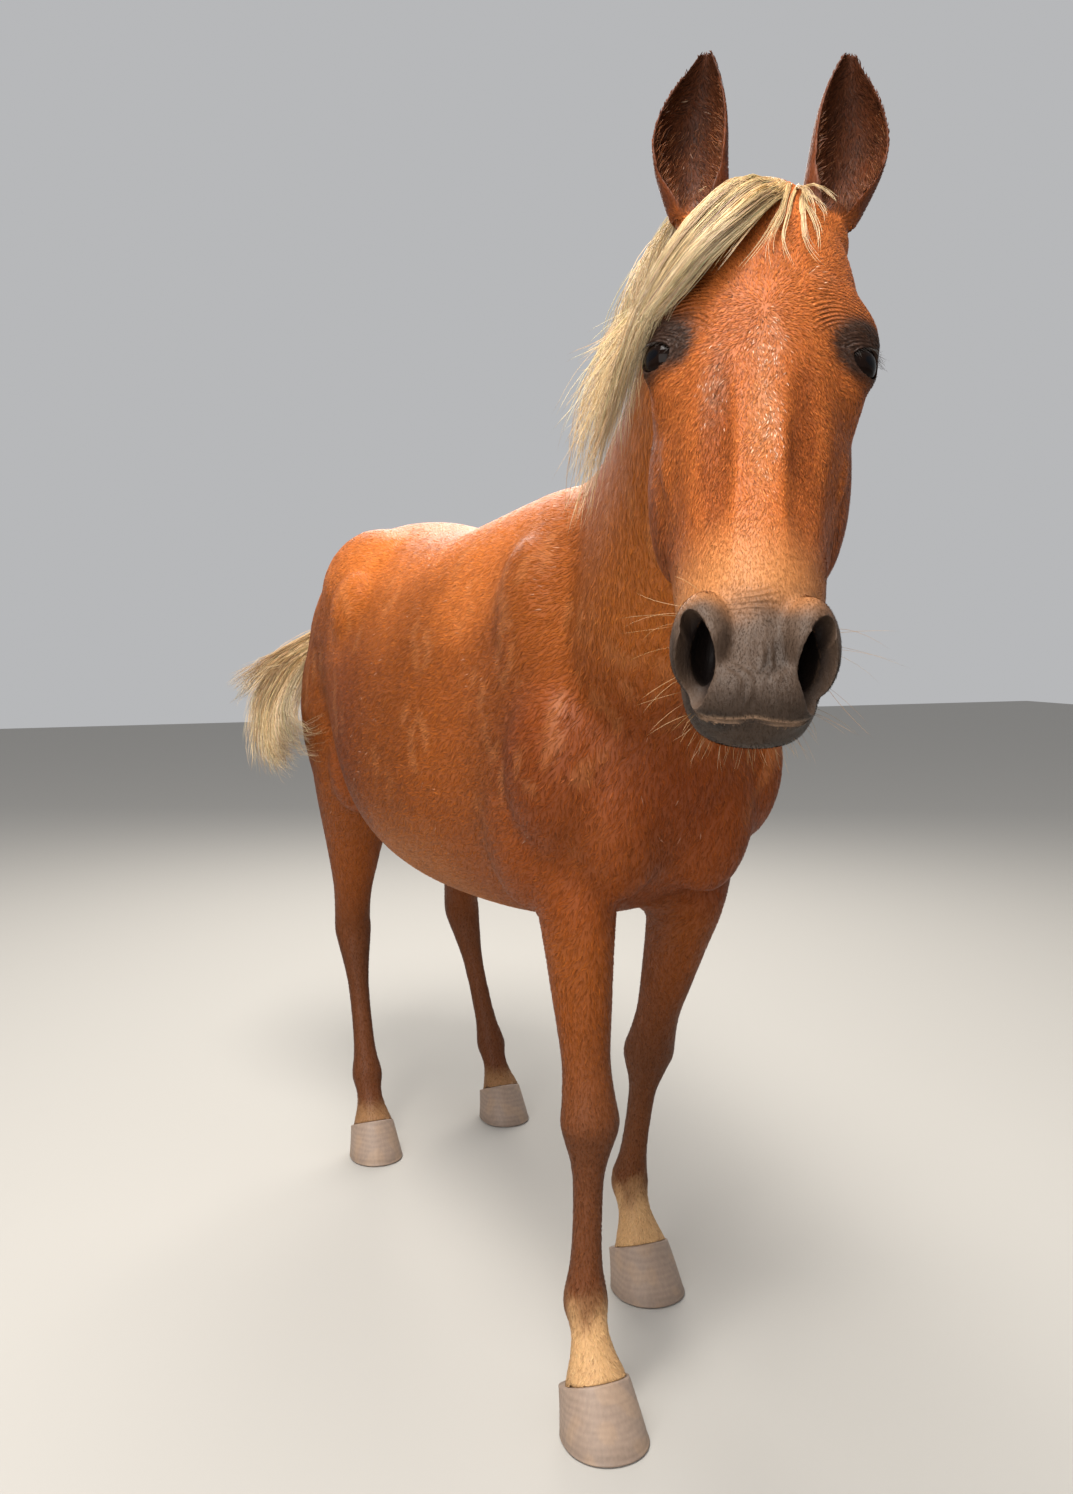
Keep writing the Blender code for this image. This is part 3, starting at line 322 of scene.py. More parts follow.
def spline(rows, place):
    """Read a smooth curve through rows of numbers at a place from 0 to 1."""
    spans = len(rows) - 1
    here = min(max(place, 0.0), 1.0) * spans
    first = min(int(here), spans - 1)
    t = here - first
    b = rows[first]
    c = rows[first + 1]
    a = rows[first - 1] if first > 0 else 2 * b - c
    d = rows[first + 2] if first + 2 <= spans else 2 * c - b
    return through(a, b, c, d, t)


def section(rows, place, front):
    """The sizes, the centre and the two directions of the section at a place along a path."""
    row = spline(rows, place)
    if front is None:
        return row, Vector(row[:3]), Vector((1.0, 0.0, 0.0)), UP
    ahead = Vector(spline(rows, place + 0.01)[:3] - spline(rows, place - 0.01)[:3]).normalized()
    up = (front - ahead * front.dot(ahead)).normalized()
    return row, Vector(row[:3]), ahead.cross(up), up


def loft(rows, around=28, steps=4, front=None, square=2.0):
    """Make a closed tube through rows of x, y, z, half width, reach up, reach down, pear.

    With front given, each section stands square to the path and its upper side
    turns towards front. Without it the sections stand upright across the path.
    """
    rows = np.array(rows, float)
    along = (len(rows) - 1) * steps
    bm = bmesh.new()
    bmesh.ops.create_grid(bm, x_segments=around, y_segments=along, size=0.5)
    power = 2.0 / square
    for vert in bm.verts:
        angle = 2.0 * math.pi * (vert.co.x + 0.5)
        row, centre, side, up = section(rows, vert.co.y + 0.5, front)
        across = math.cos(angle)
        rise = math.sin(angle)
        reach = row[4] if rise > 0 else row[5]
        wide = row[3] * math.copysign(abs(across) ** power, across) * (1.0 - row[6] * rise)
        tall = reach * math.copysign(abs(rise) ** power, rise)
        vert.co = centre + side * wide + up * tall
    bmesh.ops.remove_doubles(bm, verts=bm.verts, dist=WELD)
    bmesh.ops.holes_fill(bm, edges=bm.edges, sides=0)
    bmesh.ops.recalc_face_normals(bm, faces=bm.faces)
    return bm


def muscle(centre, radii, turn=(0.0, 0.0, 0.0), place=None, fineness=10):
    """Make a rounded mass from its centre, its three half sizes and its turn in degrees."""
    bm = bmesh.new()
    bmesh.ops.create_uvsphere(bm, u_segments=2 * fineness, v_segments=fineness, radius=1.0)
    shape = Matrix.Translation(Vector(centre))
    for degrees, axis in zip(turn, "XYZ"):
        shape = shape @ Matrix.Rotation(math.radians(degrees), 4, axis)
    shape = shape @ Matrix.Diagonal((*radii, 1.0))
    if place is not None:
        shape = place @ shape
    bmesh.ops.transform(bm, matrix=shape, verts=bm.verts)
    return bm


def as_object(name, bm):
    """Make a bmesh an object in the workroom, and let the bmesh go."""
    mesh = bpy.data.meshes.new(name)
    bm.to_mesh(mesh)
    bm.free()
    thing = bpy.data.objects.new(name, mesh)
    work.objects.link(thing)
    return thing


def evaluated(thing, name):
    """Turn an object with its modifiers into a plain mesh object, and drop the first."""
    bpy.context.view_layer.update()
    graph = bpy.context.evaluated_depsgraph_get()
    mesh = bpy.data.meshes.new_from_object(thing.evaluated_get(graph))
    bpy.data.objects.remove(thing)
    result = bpy.data.objects.new(name, mesh)
    work.objects.link(result)
    return result


def melt(name, shapes, voxel, rounds, soft_at, faces=None):
    """Melt closed shapes into one skin, smoothed as much as soft_at says, of about so many faces."""
    whole = bmesh.new()
    for shape in shapes:
        piece = bpy.data.meshes.new("piece")
        shape.to_mesh(piece)
        shape.free()
        whole.from_mesh(piece)
        bpy.data.meshes.remove(piece)
    body = as_object(name, whole)
    remesh = body.modifiers.new("melt", "REMESH")
    remesh.mode = "VOXEL"
    remesh.voxel_size = voxel
    body = evaluated(body, name)
    smooth = body.modifiers.new("smooth", "SMOOTH")
    smooth.factor = 0.5
    smooth.iterations = rounds
    group = body.vertex_groups.new(name="soft")
    for vert in body.data.vertices:
        group.add([vert.index], soft_at(vert.co), "REPLACE")
    smooth.vertex_group = "soft"
    body = evaluated(body, name)
    if faces is None:
        return body
    coarse = body.modifiers.new("coarse", "DECIMATE")
    coarse.ratio = min(1.0, faces / (2.0 * len(body.data.polygons)))
    return evaluated(body, name)


def boolean(thing, cutters, operation):
    """Join or cut an object with others in one step, and remove the others."""
    tools = bpy.data.collections.new("tools")
    bpy.context.scene.collection.children.link(tools)
    for cutter in cutters:
        work.objects.unlink(cutter)
        tools.objects.link(cutter)
    step = thing.modifiers.new("boolean", "BOOLEAN")
    step.operation = operation
    step.solver = "MANIFOLD"
    step.operand_type = "COLLECTION"
    step.collection = tools
    result = evaluated(thing, thing.name)
    for cutter in list(tools.objects):
        bpy.data.objects.remove(cutter)
    bpy.data.collections.remove(tools)
    bm = bmesh.new()
    bm.from_mesh(result.data)
    bmesh.ops.triangulate(bm, faces=bm.faces)
    bm.to_mesh(result.data)
    bm.free()
    return result


def leg_rows(form, joints):
    """Place the leg's sections along its joints."""
    points = [Vector(joint) for joint in joints]
    rows = []
    for along, wide, front, back in form:
        first = min(int(along), len(points) - 2)
        centre = points[first].lerp(points[first + 1], along - first)
        rows.append((*centre, wide, front, back, 0.0))
    return rows


def head_shapes():
    """The skull and its masses, in the head's own frame carried to its place."""
    rows = [(0.0, y, z, wide, face, jaw, pear) for z, y, wide, face, jaw, pear in HEAD]
    skull = loft(rows, around=72, steps=8, front=FORWARD, square=2.2)
    bmesh.ops.transform(skull, matrix=HEAD_PLACE, verts=skull.verts)
    shapes = [skull]
    for side in (RIGHT, LEFT):
        for (x, y, z), radii in HEAD_MASSES:
            shapes.append(muscle((x * side, y, z), radii, place=HEAD_PLACE, fineness=20))
    return shapes


def body_shapes():
    """Trunk, neck, dock and legs with the masses that shape them."""
    rows = [(x, y, z, wide, up, down, pear) for y, z, wide, up, down, pear, x in TRUNK]
    shapes = [loft(rows, around=64, square=2.15)]
    shapes.append(loft(NECK, around=48, front=UP))
    shapes.append(loft(DOCK, around=32, front=UP))
    for side in (RIGHT, LEFT):
        for (x, y, z), radii, turn in FORE_MASSES:
            shapes.append(muscle((x * side, y, z), radii, turn))
        for (x, y, z), radii in HIND_MASSES:
            shapes.append(muscle((HIND_MIDDLE + x * side, y, z), radii))
    for side, form, joints in LEGS.values():
        shapes.append(loft(leg_rows(form, joints), around=40, front=FORWARD))
        for joint, away, radii, turn in HINDLEG_KNOBS if form is HINDLEG_FORM else FORELEG_KNOBS:
            shapes.append(muscle(Vector(joints[joint]) + Vector(away), radii, turn))
    return shapes


def softness(point):
    """Full smoothing on the trunk, less on the neck and head, little on the legs."""
    legs = min(1.0, max(0.04, (point.z - 0.55) / 0.35))
    front = min(1.0, max(0.0, (-0.25 - point.y) / 0.35))
    return legs * (1.0 - 0.75 * front)


def head_softness(point):
    """A little more smoothing on the muzzle than along the rest of the head."""
    place = HEAD_PLACE.inverted() @ point
    return 0.6 + 0.4 * min(1.0, max(0.0, (-0.42 - place.z) / 0.06))


def tube(name, points, radius):
    """A round bar along a few points, made a closed mesh."""
    curve = bpy.data.curves.new(name, "CURVE")
    curve.dimensions = "3D"
    curve.bevel_depth = radius
    curve.bevel_resolution = 3
    curve.use_fill_caps = True
    line = curve.splines.new("POLY")
    line.points.add(len(points) - 1)
    for node, point in zip(line.points, points):
        node.co = (*point, 1.0)
    bar = bpy.data.objects.new(name, curve)
    work.objects.link(bar)
    bar = evaluated(bar, name)
    bm = bmesh.new()
    bm.from_mesh(bar.data)
    bmesh.ops.remove_doubles(bm, verts=bm.verts, dist=WELD)
    bmesh.ops.recalc_face_normals(bm, faces=bm.faces)
    bm.to_mesh(bar.data)
    bm.free()
    return bar


def eye_frame(side):
    """Where an eyeball sits: centre, outward axis, direction to the inner corner, and up."""
    frame = HEAD_PLACE.to_3x3().normalized()
    x, y, z = EYE_CENTRE
    outward, ahead, upward = EYE_AXIS
    axis = (frame @ Vector((outward * side, ahead, upward))).normalized()
    up = frame @ Vector((0.0, -0.10, 1.0))
    up = (up - axis * up.dot(axis)).normalized()
    return HEAD_PLACE @ Vector((x * side, y, z)), axis, axis.cross(up) * side, up


def swell_head(places, normals):
    """Raise the swellings of the head and sink its hollows."""
    rows = in_head(places)
    rows[:, 0] = np.abs(rows[:, 0])
    rise = sum(height * near(rows, centre, reach) for centre, reach, height in HEAD_SWELLS)
    lips = np.clip((-rows[:, 2] - 0.490) / 0.080, 0.0, 1.0)
    up = np.array(HEAD_PLACE.to_3x3() @ UP)
    return places + normals * rise[:, None] + up * (LIP_LIFT * lips ** 2)[:, None]


def raise_lids(places):
    """Push points of the head out over each eyeball by the thickness of the lids."""
    for centre, axis, *_ in eyes.values():
        rays = places - np.array(centre)
        reach = np.linalg.norm(rays, axis=1)
        lids = EYE_RADIUS + LID_SHELL
        blend = np.clip(LID_BLEND - np.abs(reach - lids), 0.0, None) / LID_BLEND
        wanted = np.maximum(reach, lids) + 0.25 * LID_BLEND * blend ** 2
        front = np.clip((rays @ np.array(axis) + 0.034) / 0.013, 0.0, 1.0) * (reach < 0.06)
        scale = 1.0 + (wanted / np.maximum(reach, 1e-6) - 1.0) * front
        places = np.array(centre) + rays * scale[:, None]
    return places


def lid_ways(corner, up):
    """The two directions of the gap between the lids, which slants down to the inner corner."""
    across = corner * math.cos(LID_TILT) + up * math.sin(LID_TILT)
    return across, up * math.cos(LID_TILT) - corner * math.sin(LID_TILT)


def lid_opening(eye):
    """The gap between the lids: an almond, longer and lower at the inner corner."""
    centre, axis, corner, up = eye
    across, upward = lid_ways(corner, up)
    bm = bmesh.new()
    bmesh.ops.create_circle(bm, segments=48, radius=1.0, cap_ends=True)
    for vert in bm.verts:
        x, y = vert.co.x, vert.co.y
        along = x * LID_LENGTH[x > 0]
        rise = math.copysign(abs(y) ** LID_POINT, y) * LID_RISE[y < 0]
        vert.co = centre + axis * LID_CUT_FROM + across * along + upward * rise
    far = bmesh.ops.extrude_face_region(bm, geom=bm.faces[:])
    moved = [item for item in far["geom"] if isinstance(item, bmesh.types.BMVert)]
    bmesh.ops.translate(bm, verts=moved, vec=axis * LID_CUT_DEEP)
    bmesh.ops.recalc_face_normals(bm, faces=bm.faces)
    return as_object("opening", bm)


def mouth_line(skin):
    """A thin bar along the meeting of the lips, to be cut from the muzzle."""
    half = np.array(MOUTH)
    other = half[::-1] * (RIGHT, 1.0, 1.0)
    rows = np.concatenate((half, other[1:]))
    line = []
    for step in range(49):
        point = HEAD_PLACE @ Vector(spline(rows, step / 48))
        line.append(skin.find_nearest(point)[0])
    return tube("mouth", line, MOUTH_BAR)


# Hollows of a nostril: a deep cup, a comma above it and the bend behind both, each a centre, half
# sizes and its turn in degrees, in the head's frame
NOSTRIL = (
    ((0.0510, -0.004, -0.523), (0.0180, 0.036, 0.035), (0, -10, 18)),
    ((0.0470, -0.004, -0.498), (0.0105, 0.028, 0.023), (0, 20, 18)),
    ((0.0375, 0.022, -0.498), (0.0110, 0.034, 0.026), (30, 0, 10)),
)


def nostril(side):
    """The rounded masses that are cut out of the muzzle for one nostril."""
    return [as_object("nostril", muscle((x * side, y, z), radii, (a, b * side, c * side), HEAD_PLACE, 20))
            for (x, y, z), radii, (a, b, c) in NOSTRIL]


# Ear, from base to tip: half width, how far the shell wraps round in degrees, lean to the other ear
EAR_FORM = (
    (0.024, 172.0, 0.000),
    (0.030, 146.0, -0.003),
    (0.034, 114.0, -0.006),
    (0.035, 101.0, -0.006),
    (0.030, 95.0, -0.002),
    (0.0185, 90.0, 0.005),
    (0.0022, 80.0, 0.013),
)


def ear_axes(side):
    """Where an ear is rooted, its length, its opening and the way across it, in the head's frame."""
    base = Vector((0.060 * side, 0.060, -0.012))
    axis = Vector((0.12 * side + 0.030, -0.44, 0.89)).normalized()
    opening = Vector((0.20 * side, -1.0, 0.0))
    opening = (opening - axis * opening.dot(axis)).normalized()
    return base, axis, opening, opening.cross(axis)


def ear_point(side, place, swing):
    """A point of the ear's leaf: place from base to tip, swing from edge to edge."""
    base, axis, opening, across = ear_axes(side)
    inward = across if across.x * side < 0 else -across
    wide, wrap, lean = spline(np.array(EAR_FORM), place)
    angle = swing * math.radians(wrap)
    centre = base + axis * EAR_LENGTH * (place ** EAR_TAPER) + inward * lean
    spread = across * math.sin(angle) * wide
    return HEAD_PLACE @ (centre + spread - opening * math.cos(angle) * wide)


def ear(side):
    """An ear: a rolled leaf, open to the front, thick at its base and thin at its rim."""
    bm = bmesh.new()
    bmesh.ops.create_grid(bm, x_segments=36, y_segments=44, size=0.5)
    rims = []
    for vert in bm.verts:
        place = vert.co.y + 0.5
        rims.append(abs(vert.co.x) * 2.0)
        vert.co = ear_point(side, place, 2.0 * vert.co.x)
    bmesh.ops.recalc_face_normals(bm, faces=bm.faces)
    shell = as_object("ear", bm)
    group = shell.vertex_groups.new(name="wall")
    for index, rim in enumerate(rims):
        group.add([index], 1.0 - 0.55 * rim ** 3, "REPLACE")
    wall = shell.modifiers.new("wall", "SOLIDIFY")
    wall.thickness = EAR_SKIN
    wall.offset = 0.0
    wall.vertex_group = "wall"
    return evaluated(shell, "ear")


def read(items, what, wide, kind=np.float32):
    """Read one property of many items of a mesh into rows of so many numbers."""
    flat = np.empty(wide * len(items), kind)
    items.foreach_get(what, flat)
    return flat.reshape(-1, wide)


def rows_of(mesh, what):
    """What a mesh holds at each of its points, as rows: "co" for places, "normal" for the ways out."""
    return read(mesh.vertices, what, 3).astype(float)


def open_end(thing, point, outward):
    """Cut a mesh off at a plane and leave the cut open."""
    bm = bmesh.new()
    bm.from_mesh(thing.data)
    bmesh.ops.bisect_plane(
        bm, geom=bm.verts[:] + bm.edges[:] + bm.faces[:], plane_co=point,
        plane_no=outward, clear_outer=True)
    bm.to_mesh(thing.data)
    bm.free()


def soften(bm, verts, rounds):
    """Smooth some points of a mesh among their neighbours."""
    for _ in range(rounds):
        bmesh.ops.smooth_vert(bm, verts=verts, factor=0.5, use_axis_x=True, use_axis_y=True,
                              use_axis_z=True)


def surface_of(thing):
    """Build a search tree over the surface of an object."""
    verts = [vert.co.copy() for vert in thing.data.vertices]
    return BVHTree.FromPolygons(verts, [tuple(face.vertices) for face in thing.data.polygons])


def near(places, centre, reach):
    """How near points lie to a centre: 1 at it, falling smoothly to 0 at the reach."""
    away = np.linalg.norm((places - np.array(centre)) / np.array(reach), axis=1)
    fade = np.clip(1.0 - away, 0.0, 1.0)
    return fade * fade * (3.0 - 2.0 * fade)


HEAD_FRAME = HEAD_PLACE.inverted()


def carried(rows, move):
    """Carry rows of points by a matrix."""
    move = np.array(move)
    return np.array(rows) @ move[:3, :3].T + move[:3, 3]


def in_head(places):
    """Carry points from the pony's frame to the head's own frame."""
    return carried(places, HEAD_FRAME)


def zip_rims(bm, out):
    """Join two open rims that face each other with one strip of triangles."""
    across = out.orthogonal().normalized()
    upward = out.cross(across)
    rims = []
    left = {vert for edge in bm.edges if edge.is_boundary for vert in edge.verts}
    while left:
        first = left.pop()
        rim = [first]
        ahead = True
        while ahead:
            ahead = [edge.other_vert(rim[-1]) for edge in rim[-1].link_edges
                     if edge.is_boundary and edge.other_vert(rim[-1]) in left]
            if ahead:
                rim.append(ahead[0])
                left.discard(ahead[0])
        rims.append(rim)
    rims.sort(key=len, reverse=True)
    turned = []
    for rim in rims[:2]:
        middle = sum((vert.co for vert in rim), Vector()) / len(rim)
        rays = [vert.co - middle for vert in rim]
        angles = [math.atan2(ray.dot(upward), ray.dot(across)) for ray in rays]
        start = angles.index(min(angles))
        rim = rim[start:] + rim[:start]
        angles = angles[start:] + angles[:start]
        if angles[len(rim) // 4] > angles[3 * len(rim) // 4]:
            rim = rim[:1] + rim[:0:-1]
            angles = angles[:1] + angles[:0:-1]
        turned.append((rim + rim[:1], angles + [angles[0] + 2.0 * math.pi]))
    (one, one_turn), (two, two_turn) = turned
    i = j = 0
    while i < len(one) - 1 or j < len(two) - 1:
        if j == len(two) - 1 or (i < len(one) - 1 and one_turn[i + 1] <= two_turn[j + 1]):
            bm.faces.new((one[i], one[i + 1], two[j]))
            i += 1
        else:
            bm.faces.new((one[i], two[j + 1], two[j]))
            j += 1


throat_point, throat_out = THROAT
body = melt("body", body_shapes() + head_shapes(), BODY_VOXEL, BODY_ROUNDS, softness)
open_end(body, throat_point - throat_out * SEAM_GAP, throat_out)

neck_end = loft(NECK[5:], around=64, steps=8, front=UP)
head = melt("head", head_shapes() + [neck_end], HEAD_VOXEL, HEAD_ROUNDS, head_softness, HEAD_FACES)
eyes = {side: eye_frame(side) for side in (RIGHT, LEFT)}
shaped = raise_lids(swell_head(rows_of(head.data, "co"), rows_of(head.data, "normal")))
head.data.vertices.foreach_set("co", shaped.astype(np.float32).ravel())
head.data.update()
skull = surface_of(head)
sockets = []
for eye in eyes.values():
    sockets.append(as_object("socket", muscle(eye[0], (EYE_RADIUS + EYE_PLAY,) * 3, fineness=32)))
    sockets.append(lid_opening(eye))
sockets.append(mouth_line(skull))
roots = []
for side in (RIGHT, LEFT):
    sockets += nostril(side)
    base, axis = ear_axes(side)[:2]
    root = muscle(base + axis * EAR_ROOT_RISE, EAR_ROOT, place=HEAD_PLACE, fineness=20)
    roots.append(as_object("root", root))
head = boolean(head, roots + [ear(RIGHT), ear(LEFT)], "UNION")
head = boolean(head, sockets, "DIFFERENCE")
open_end(head, throat_point + throat_out * SEAM_GAP, -throat_out)

# Head and body are joined at the throat by one strip, which is then smoothed away
skin = bmesh.new()
skin.from_mesh(body.data)
skin.from_mesh(head.data)
bpy.data.objects.remove(body)
bpy.data.objects.remove(head)
zip_rims(skin, throat_out)
seam = [vert for vert in skin.verts if abs((vert.co - throat_point).dot(throat_out)) < SEAM_REACH]
soften(skin, seam, SEAM_ROUNDS)

# The edges that the cuts left are rounded off: least at the lids, more at nostrils and lips, and
# most at the roots of the ears
SHARP_ANGLE = 0.5
LID_ROUNDS = 3
NOSE_ROUNDS = 6
EAR_ROUNDS = 12
skin.normal_update()
rims = {LID_ROUNDS: set(), NOSE_ROUNDS: set(), EAR_ROUNDS: set()}
for edge in skin.edges:
    if len(edge.link_faces) == 2 and edge.calc_face_angle(0.0) > SHARP_ANGLE:
        spot = edge.verts[0].co
        local = HEAD_FRAME @ spot
        if min((spot - eye[0]).length for eye in eyes.values()) < 0.034:
            rims[LID_ROUNDS].update(edge.verts)
        elif local.z < -0.42:
            rims[NOSE_ROUNDS].update(edge.verts)
        elif -0.06 < local.z < 0.030 and local.y > -0.02:
            rims[EAR_ROUNDS].update(edge.verts)
for rounds, verts in rims.items():
    verts |= {edge.other_vert(vert) for vert in verts for edge in vert.link_edges}
    soften(skin, list(verts), rounds)

# Below the coronets the hide ends on the hooves: a slanting cut, lower at the heel than at the toe
CORONET_SLOPE = math.radians(24.0)
for leg_side, leg_form, leg_joints in LEGS.values():
    coronet = Vector(leg_joints[4])
    down = Vector((0.0, -math.sin(CORONET_SLOPE), -math.cos(CORONET_SLOPE)))
    foot = [vert for vert in skin.verts if (vert.co - coronet).length < 0.14]
    faces = list({face for vert in foot for face in vert.link_faces})
    edges = list({edge for face in faces for edge in face.edges})
    cut = bmesh.ops.bisect_plane(skin, geom=foot + edges + faces, plane_co=coronet, plane_no=down,
                                 clear_outer=True)
    ring = [item for item in cut["geom_cut"] if isinstance(item, bmesh.types.BMEdge)]
    bmesh.ops.holes_fill(skin, edges=ring, sides=0)
bmesh.ops.holes_fill(skin, edges=[edge for edge in skin.edges if edge.is_boundary], sides=0)
bmesh.ops.triangulate(skin, faces=skin.faces)
bmesh.ops.recalc_face_normals(skin, faces=skin.faces)
if skin.calc_volume(signed=True) < 0.0:
    bmesh.ops.reverse_faces(skin, faces=skin.faces)
skin.normal_update()


def spots(places, size, seed):
    """A soft, cloudy number from 0 to 1 at each point, made of a few slanting waves."""
    dice = np.random.default_rng(seed)
    total = np.zeros(len(places))
    for _ in range(9):
        way = dice.normal(size=3)
        way *= dice.uniform(3.0, 9.0) / (size * np.linalg.norm(way))
        total += np.sin(places @ way + dice.uniform(0.0, 6.3))
    return np.clip(0.5 + total / 6.0, 0.0, 1.0)


def ramp(value, low, high):
    """Rise smoothly from 0 at low to 1 at high."""
    t = np.clip((value - low) / (high - low), 0.0, 1.0)
    return t * t * (3.0 - 2.0 * t)


def mix(colours, target, amount):
    """Blend rows of colours towards one colour."""
    return colours + (np.array(target) - colours) * amount[:, None]


# Colours of skin and coat, as the shader takes them
CHESTNUT = (0.215, 0.053, 0.0075)
# Painted light: the top of the back, made lighter where light falls on it
PAINTED_BACK_LIGHT = (0.450, 0.122, 0.022)
NECK_GOLD = (0.320, 0.086, 0.012)
HAY_BELLY = (0.360, 0.120, 0.026)
# Painted shade: the chest and the lower flanks, made darker where shade falls on them
PAINTED_CHEST_SHADE = (0.150, 0.028, 0.005)
LEG_BROWN = (0.105, 0.034, 0.012)
SAND = (0.620, 0.370, 0.170)
DUST = (0.560, 0.230, 0.085)
FACE = (0.350, 0.092, 0.019)
# Painted shade for the cheeks, the hollows of the temples and the hollows beside the nose
PAINTED_FACE_SHADE = (0.130, 0.027, 0.006)
NOSE_TAN = (0.370, 0.155, 0.050)
MUZZLE = (0.056, 0.034, 0.022)
LIP_EDGE = (0.300, 0.185, 0.115)
EYE_SHADE = (0.022, 0.013, 0.009)
EAR_DARK = (0.062, 0.019, 0.008)
EAR_BACK = (0.120, 0.030, 0.008)
# Painted shade for the line of the mouth and the depths of the nostrils
PAINTED_HOLLOW_SHADE = (0.012, 0.008, 0.007)
FROST = (0.660, 0.470, 0.340)

# From ridge to ridge of the wrinkles over the eyes, round the lids, and along and across the muzzle
BROW_FOLD = 0.0041
LID_FOLD = 0.0030
LIP_FOLD = 0.0100
NOSE_FOLD = 0.0070


def on_head(places):
    """1 on the head, falling to 0 behind the throat."""
    return ramp(-places[:, 1], 0.60, 0.76) * ramp(places[:, 2], 0.90, 1.10)


def half_head(places):
    """Points in the head's frame, both halves carried to one side."""
    half = in_head(places)
    half[:, 0] = np.abs(half[:, 0])
    return half


def ear_part(places):
    """How much of a point is ear, and how much of it lies inside the cup."""
    head = in_head(places)
    stations = np.linspace(0.0, 1.0, 25)
    form = np.array([spline(np.array(EAR_FORM), place) for place in stations])
    tall = np.zeros(len(places))
    cup = np.zeros(len(places))
    for side in (RIGHT, LEFT):
        base, axis, _, across = (np.array(item) for item in ear_axes(side))
        inward = across if across[0] * side < 0.0 else -across
        rows = head - base
        along = rows @ axis
        place = np.clip(along / EAR_LENGTH, 0.0, 1.0) ** (1.0 / EAR_TAPER)
        wide = np.interp(place, stations, form[:, 0])
        rows = rows - along[:, None] * axis - np.interp(place, stations, form[:, 2])[:, None] * inward
        reach = np.linalg.norm(rows, axis=1)
        here = ramp(along, -0.004, 0.022) * (reach < wide + 0.008) * (head[:, 0] * side > 0.0)
        tall += here
        cup += here * ramp(wide - reach, -0.0006, 0.0008)
    return np.clip(tall, 0.0, 1.0), np.clip(cup, 0.0, 1.0)


def in_nostril(places):
    """1 in a nostril, and how deep each point lies there, from 0 at the rim to 1."""
    half = half_head(places)
    inside = np.zeros(len(places), bool)
    for centre, radii, (a, b, c) in NOSTRIL:
        turn = np.eye(3)
        for degrees, axis in zip((a, b, c), "XYZ"):
            turn = turn @ np.array(Matrix.Rotation(math.radians(degrees), 3, axis))
        inside |= np.linalg.norm((half - centre) @ turn / np.array(radii), axis=1) < 1.04
    deep = np.zeros(len(places))
    for index in np.nonzero(inside)[0]:
        deep[index] = skull.find_nearest(places[index].tolist())[3]
    return inside.astype(float), ramp(deep, 0.002, 0.020)


mouth = in_head(np.array([skull.find_nearest(HEAD_PLACE @ Vector(spline(np.array(MOUTH), step / 60)))[0]
                          for step in range(61)]))


def from_mouth(half):
    """How far points of the muzzle lie from the line of the mouth, and how far above it."""
    gap = np.full(len(half), 1.0)
    above = np.zeros(len(half))
    rows = np.nonzero(half[:, 2] < -0.44)[0]
    away = np.linalg.norm(half[rows, None, :] - mouth[None], axis=2)
    nearest = away.argmin(1)
    gap[rows] = away.min(1)
    above[rows] = half[rows, 2] - mouth[nearest, 2]
    return gap, above


def bareness(places):
    """1 where the skin is bare: the muzzle, the inside of the nostrils and the edges of the lids."""
    half = half_head(places)
    ragged = 0.012 * spots(places, 0.05, 5)
    muzzle = on_head(places) * ramp(-half[:, 2] - ragged, 0.430, 0.500)
    lids = near(half, EYE_CENTRE, (0.034, 0.034, 0.030))
    return np.clip(muzzle + ramp(lids, 0.08, 0.30) + in_nostril(places)[0], 0.0, 1.0)


def folds(places):
    """Wrinkles over the eyes, round the lids and on the muzzle: how deep, and where on a ridge."""
    half = half_head(places)
    x, z = half[:, 0], half[:, 2]
    sway = spots(places, 0.05, 9)
    away = np.linalg.norm((half - (0.075, 0.030, -0.196)) * (1.0, 0.8, 1.0), axis=1)
    arch = ramp(z, -0.192, -0.170) * ramp(-z, 0.080, 0.110) * ramp(x, 0.038, 0.058)
    depth = arch * ramp(away, 0.028, 0.036) * (1.0 - ramp(away, 0.060, 0.090)) * (0.5 + 0.7 * sway)
    phase = (away + 0.10 * (x - 0.075) + 0.0030 * sway) / BROW_FOLD
    lids = ramp(near(half, EYE_CENTRE, (0.040, 0.040, 0.036)), 0.05, 0.25)
    reach = np.linalg.norm(half - EYE_CENTRE, axis=1)
    round_lids = (reach + 0.35 * np.abs(z - EYE_CENTRE[2]) + 0.001 * sway) / LID_FOLD
    phase = np.where(lids > depth, round_lids, phase)
    depth = np.maximum(depth, 0.55 * lids)
    upright = near(half, (0.0, 0.0, -0.528), (0.034, 0.050, 0.044))
    level = 0.5 * near(half, (0.0, 0.0, -0.462), (0.046, 0.050, 0.026))
    nose = np.maximum(upright, level)
    standing = (x + 0.022 * spots(places, 0.060, 45)) / LIP_FOLD
    lying = (z + 0.012 * spots(places, 0.060, 47)) / NOSE_FOLD
    phase = np.where(nose > depth, np.where(upright > level, standing, lying), phase)
    return np.maximum(depth, 0.45 * ramp(nose, 0.05, 0.5)), phase


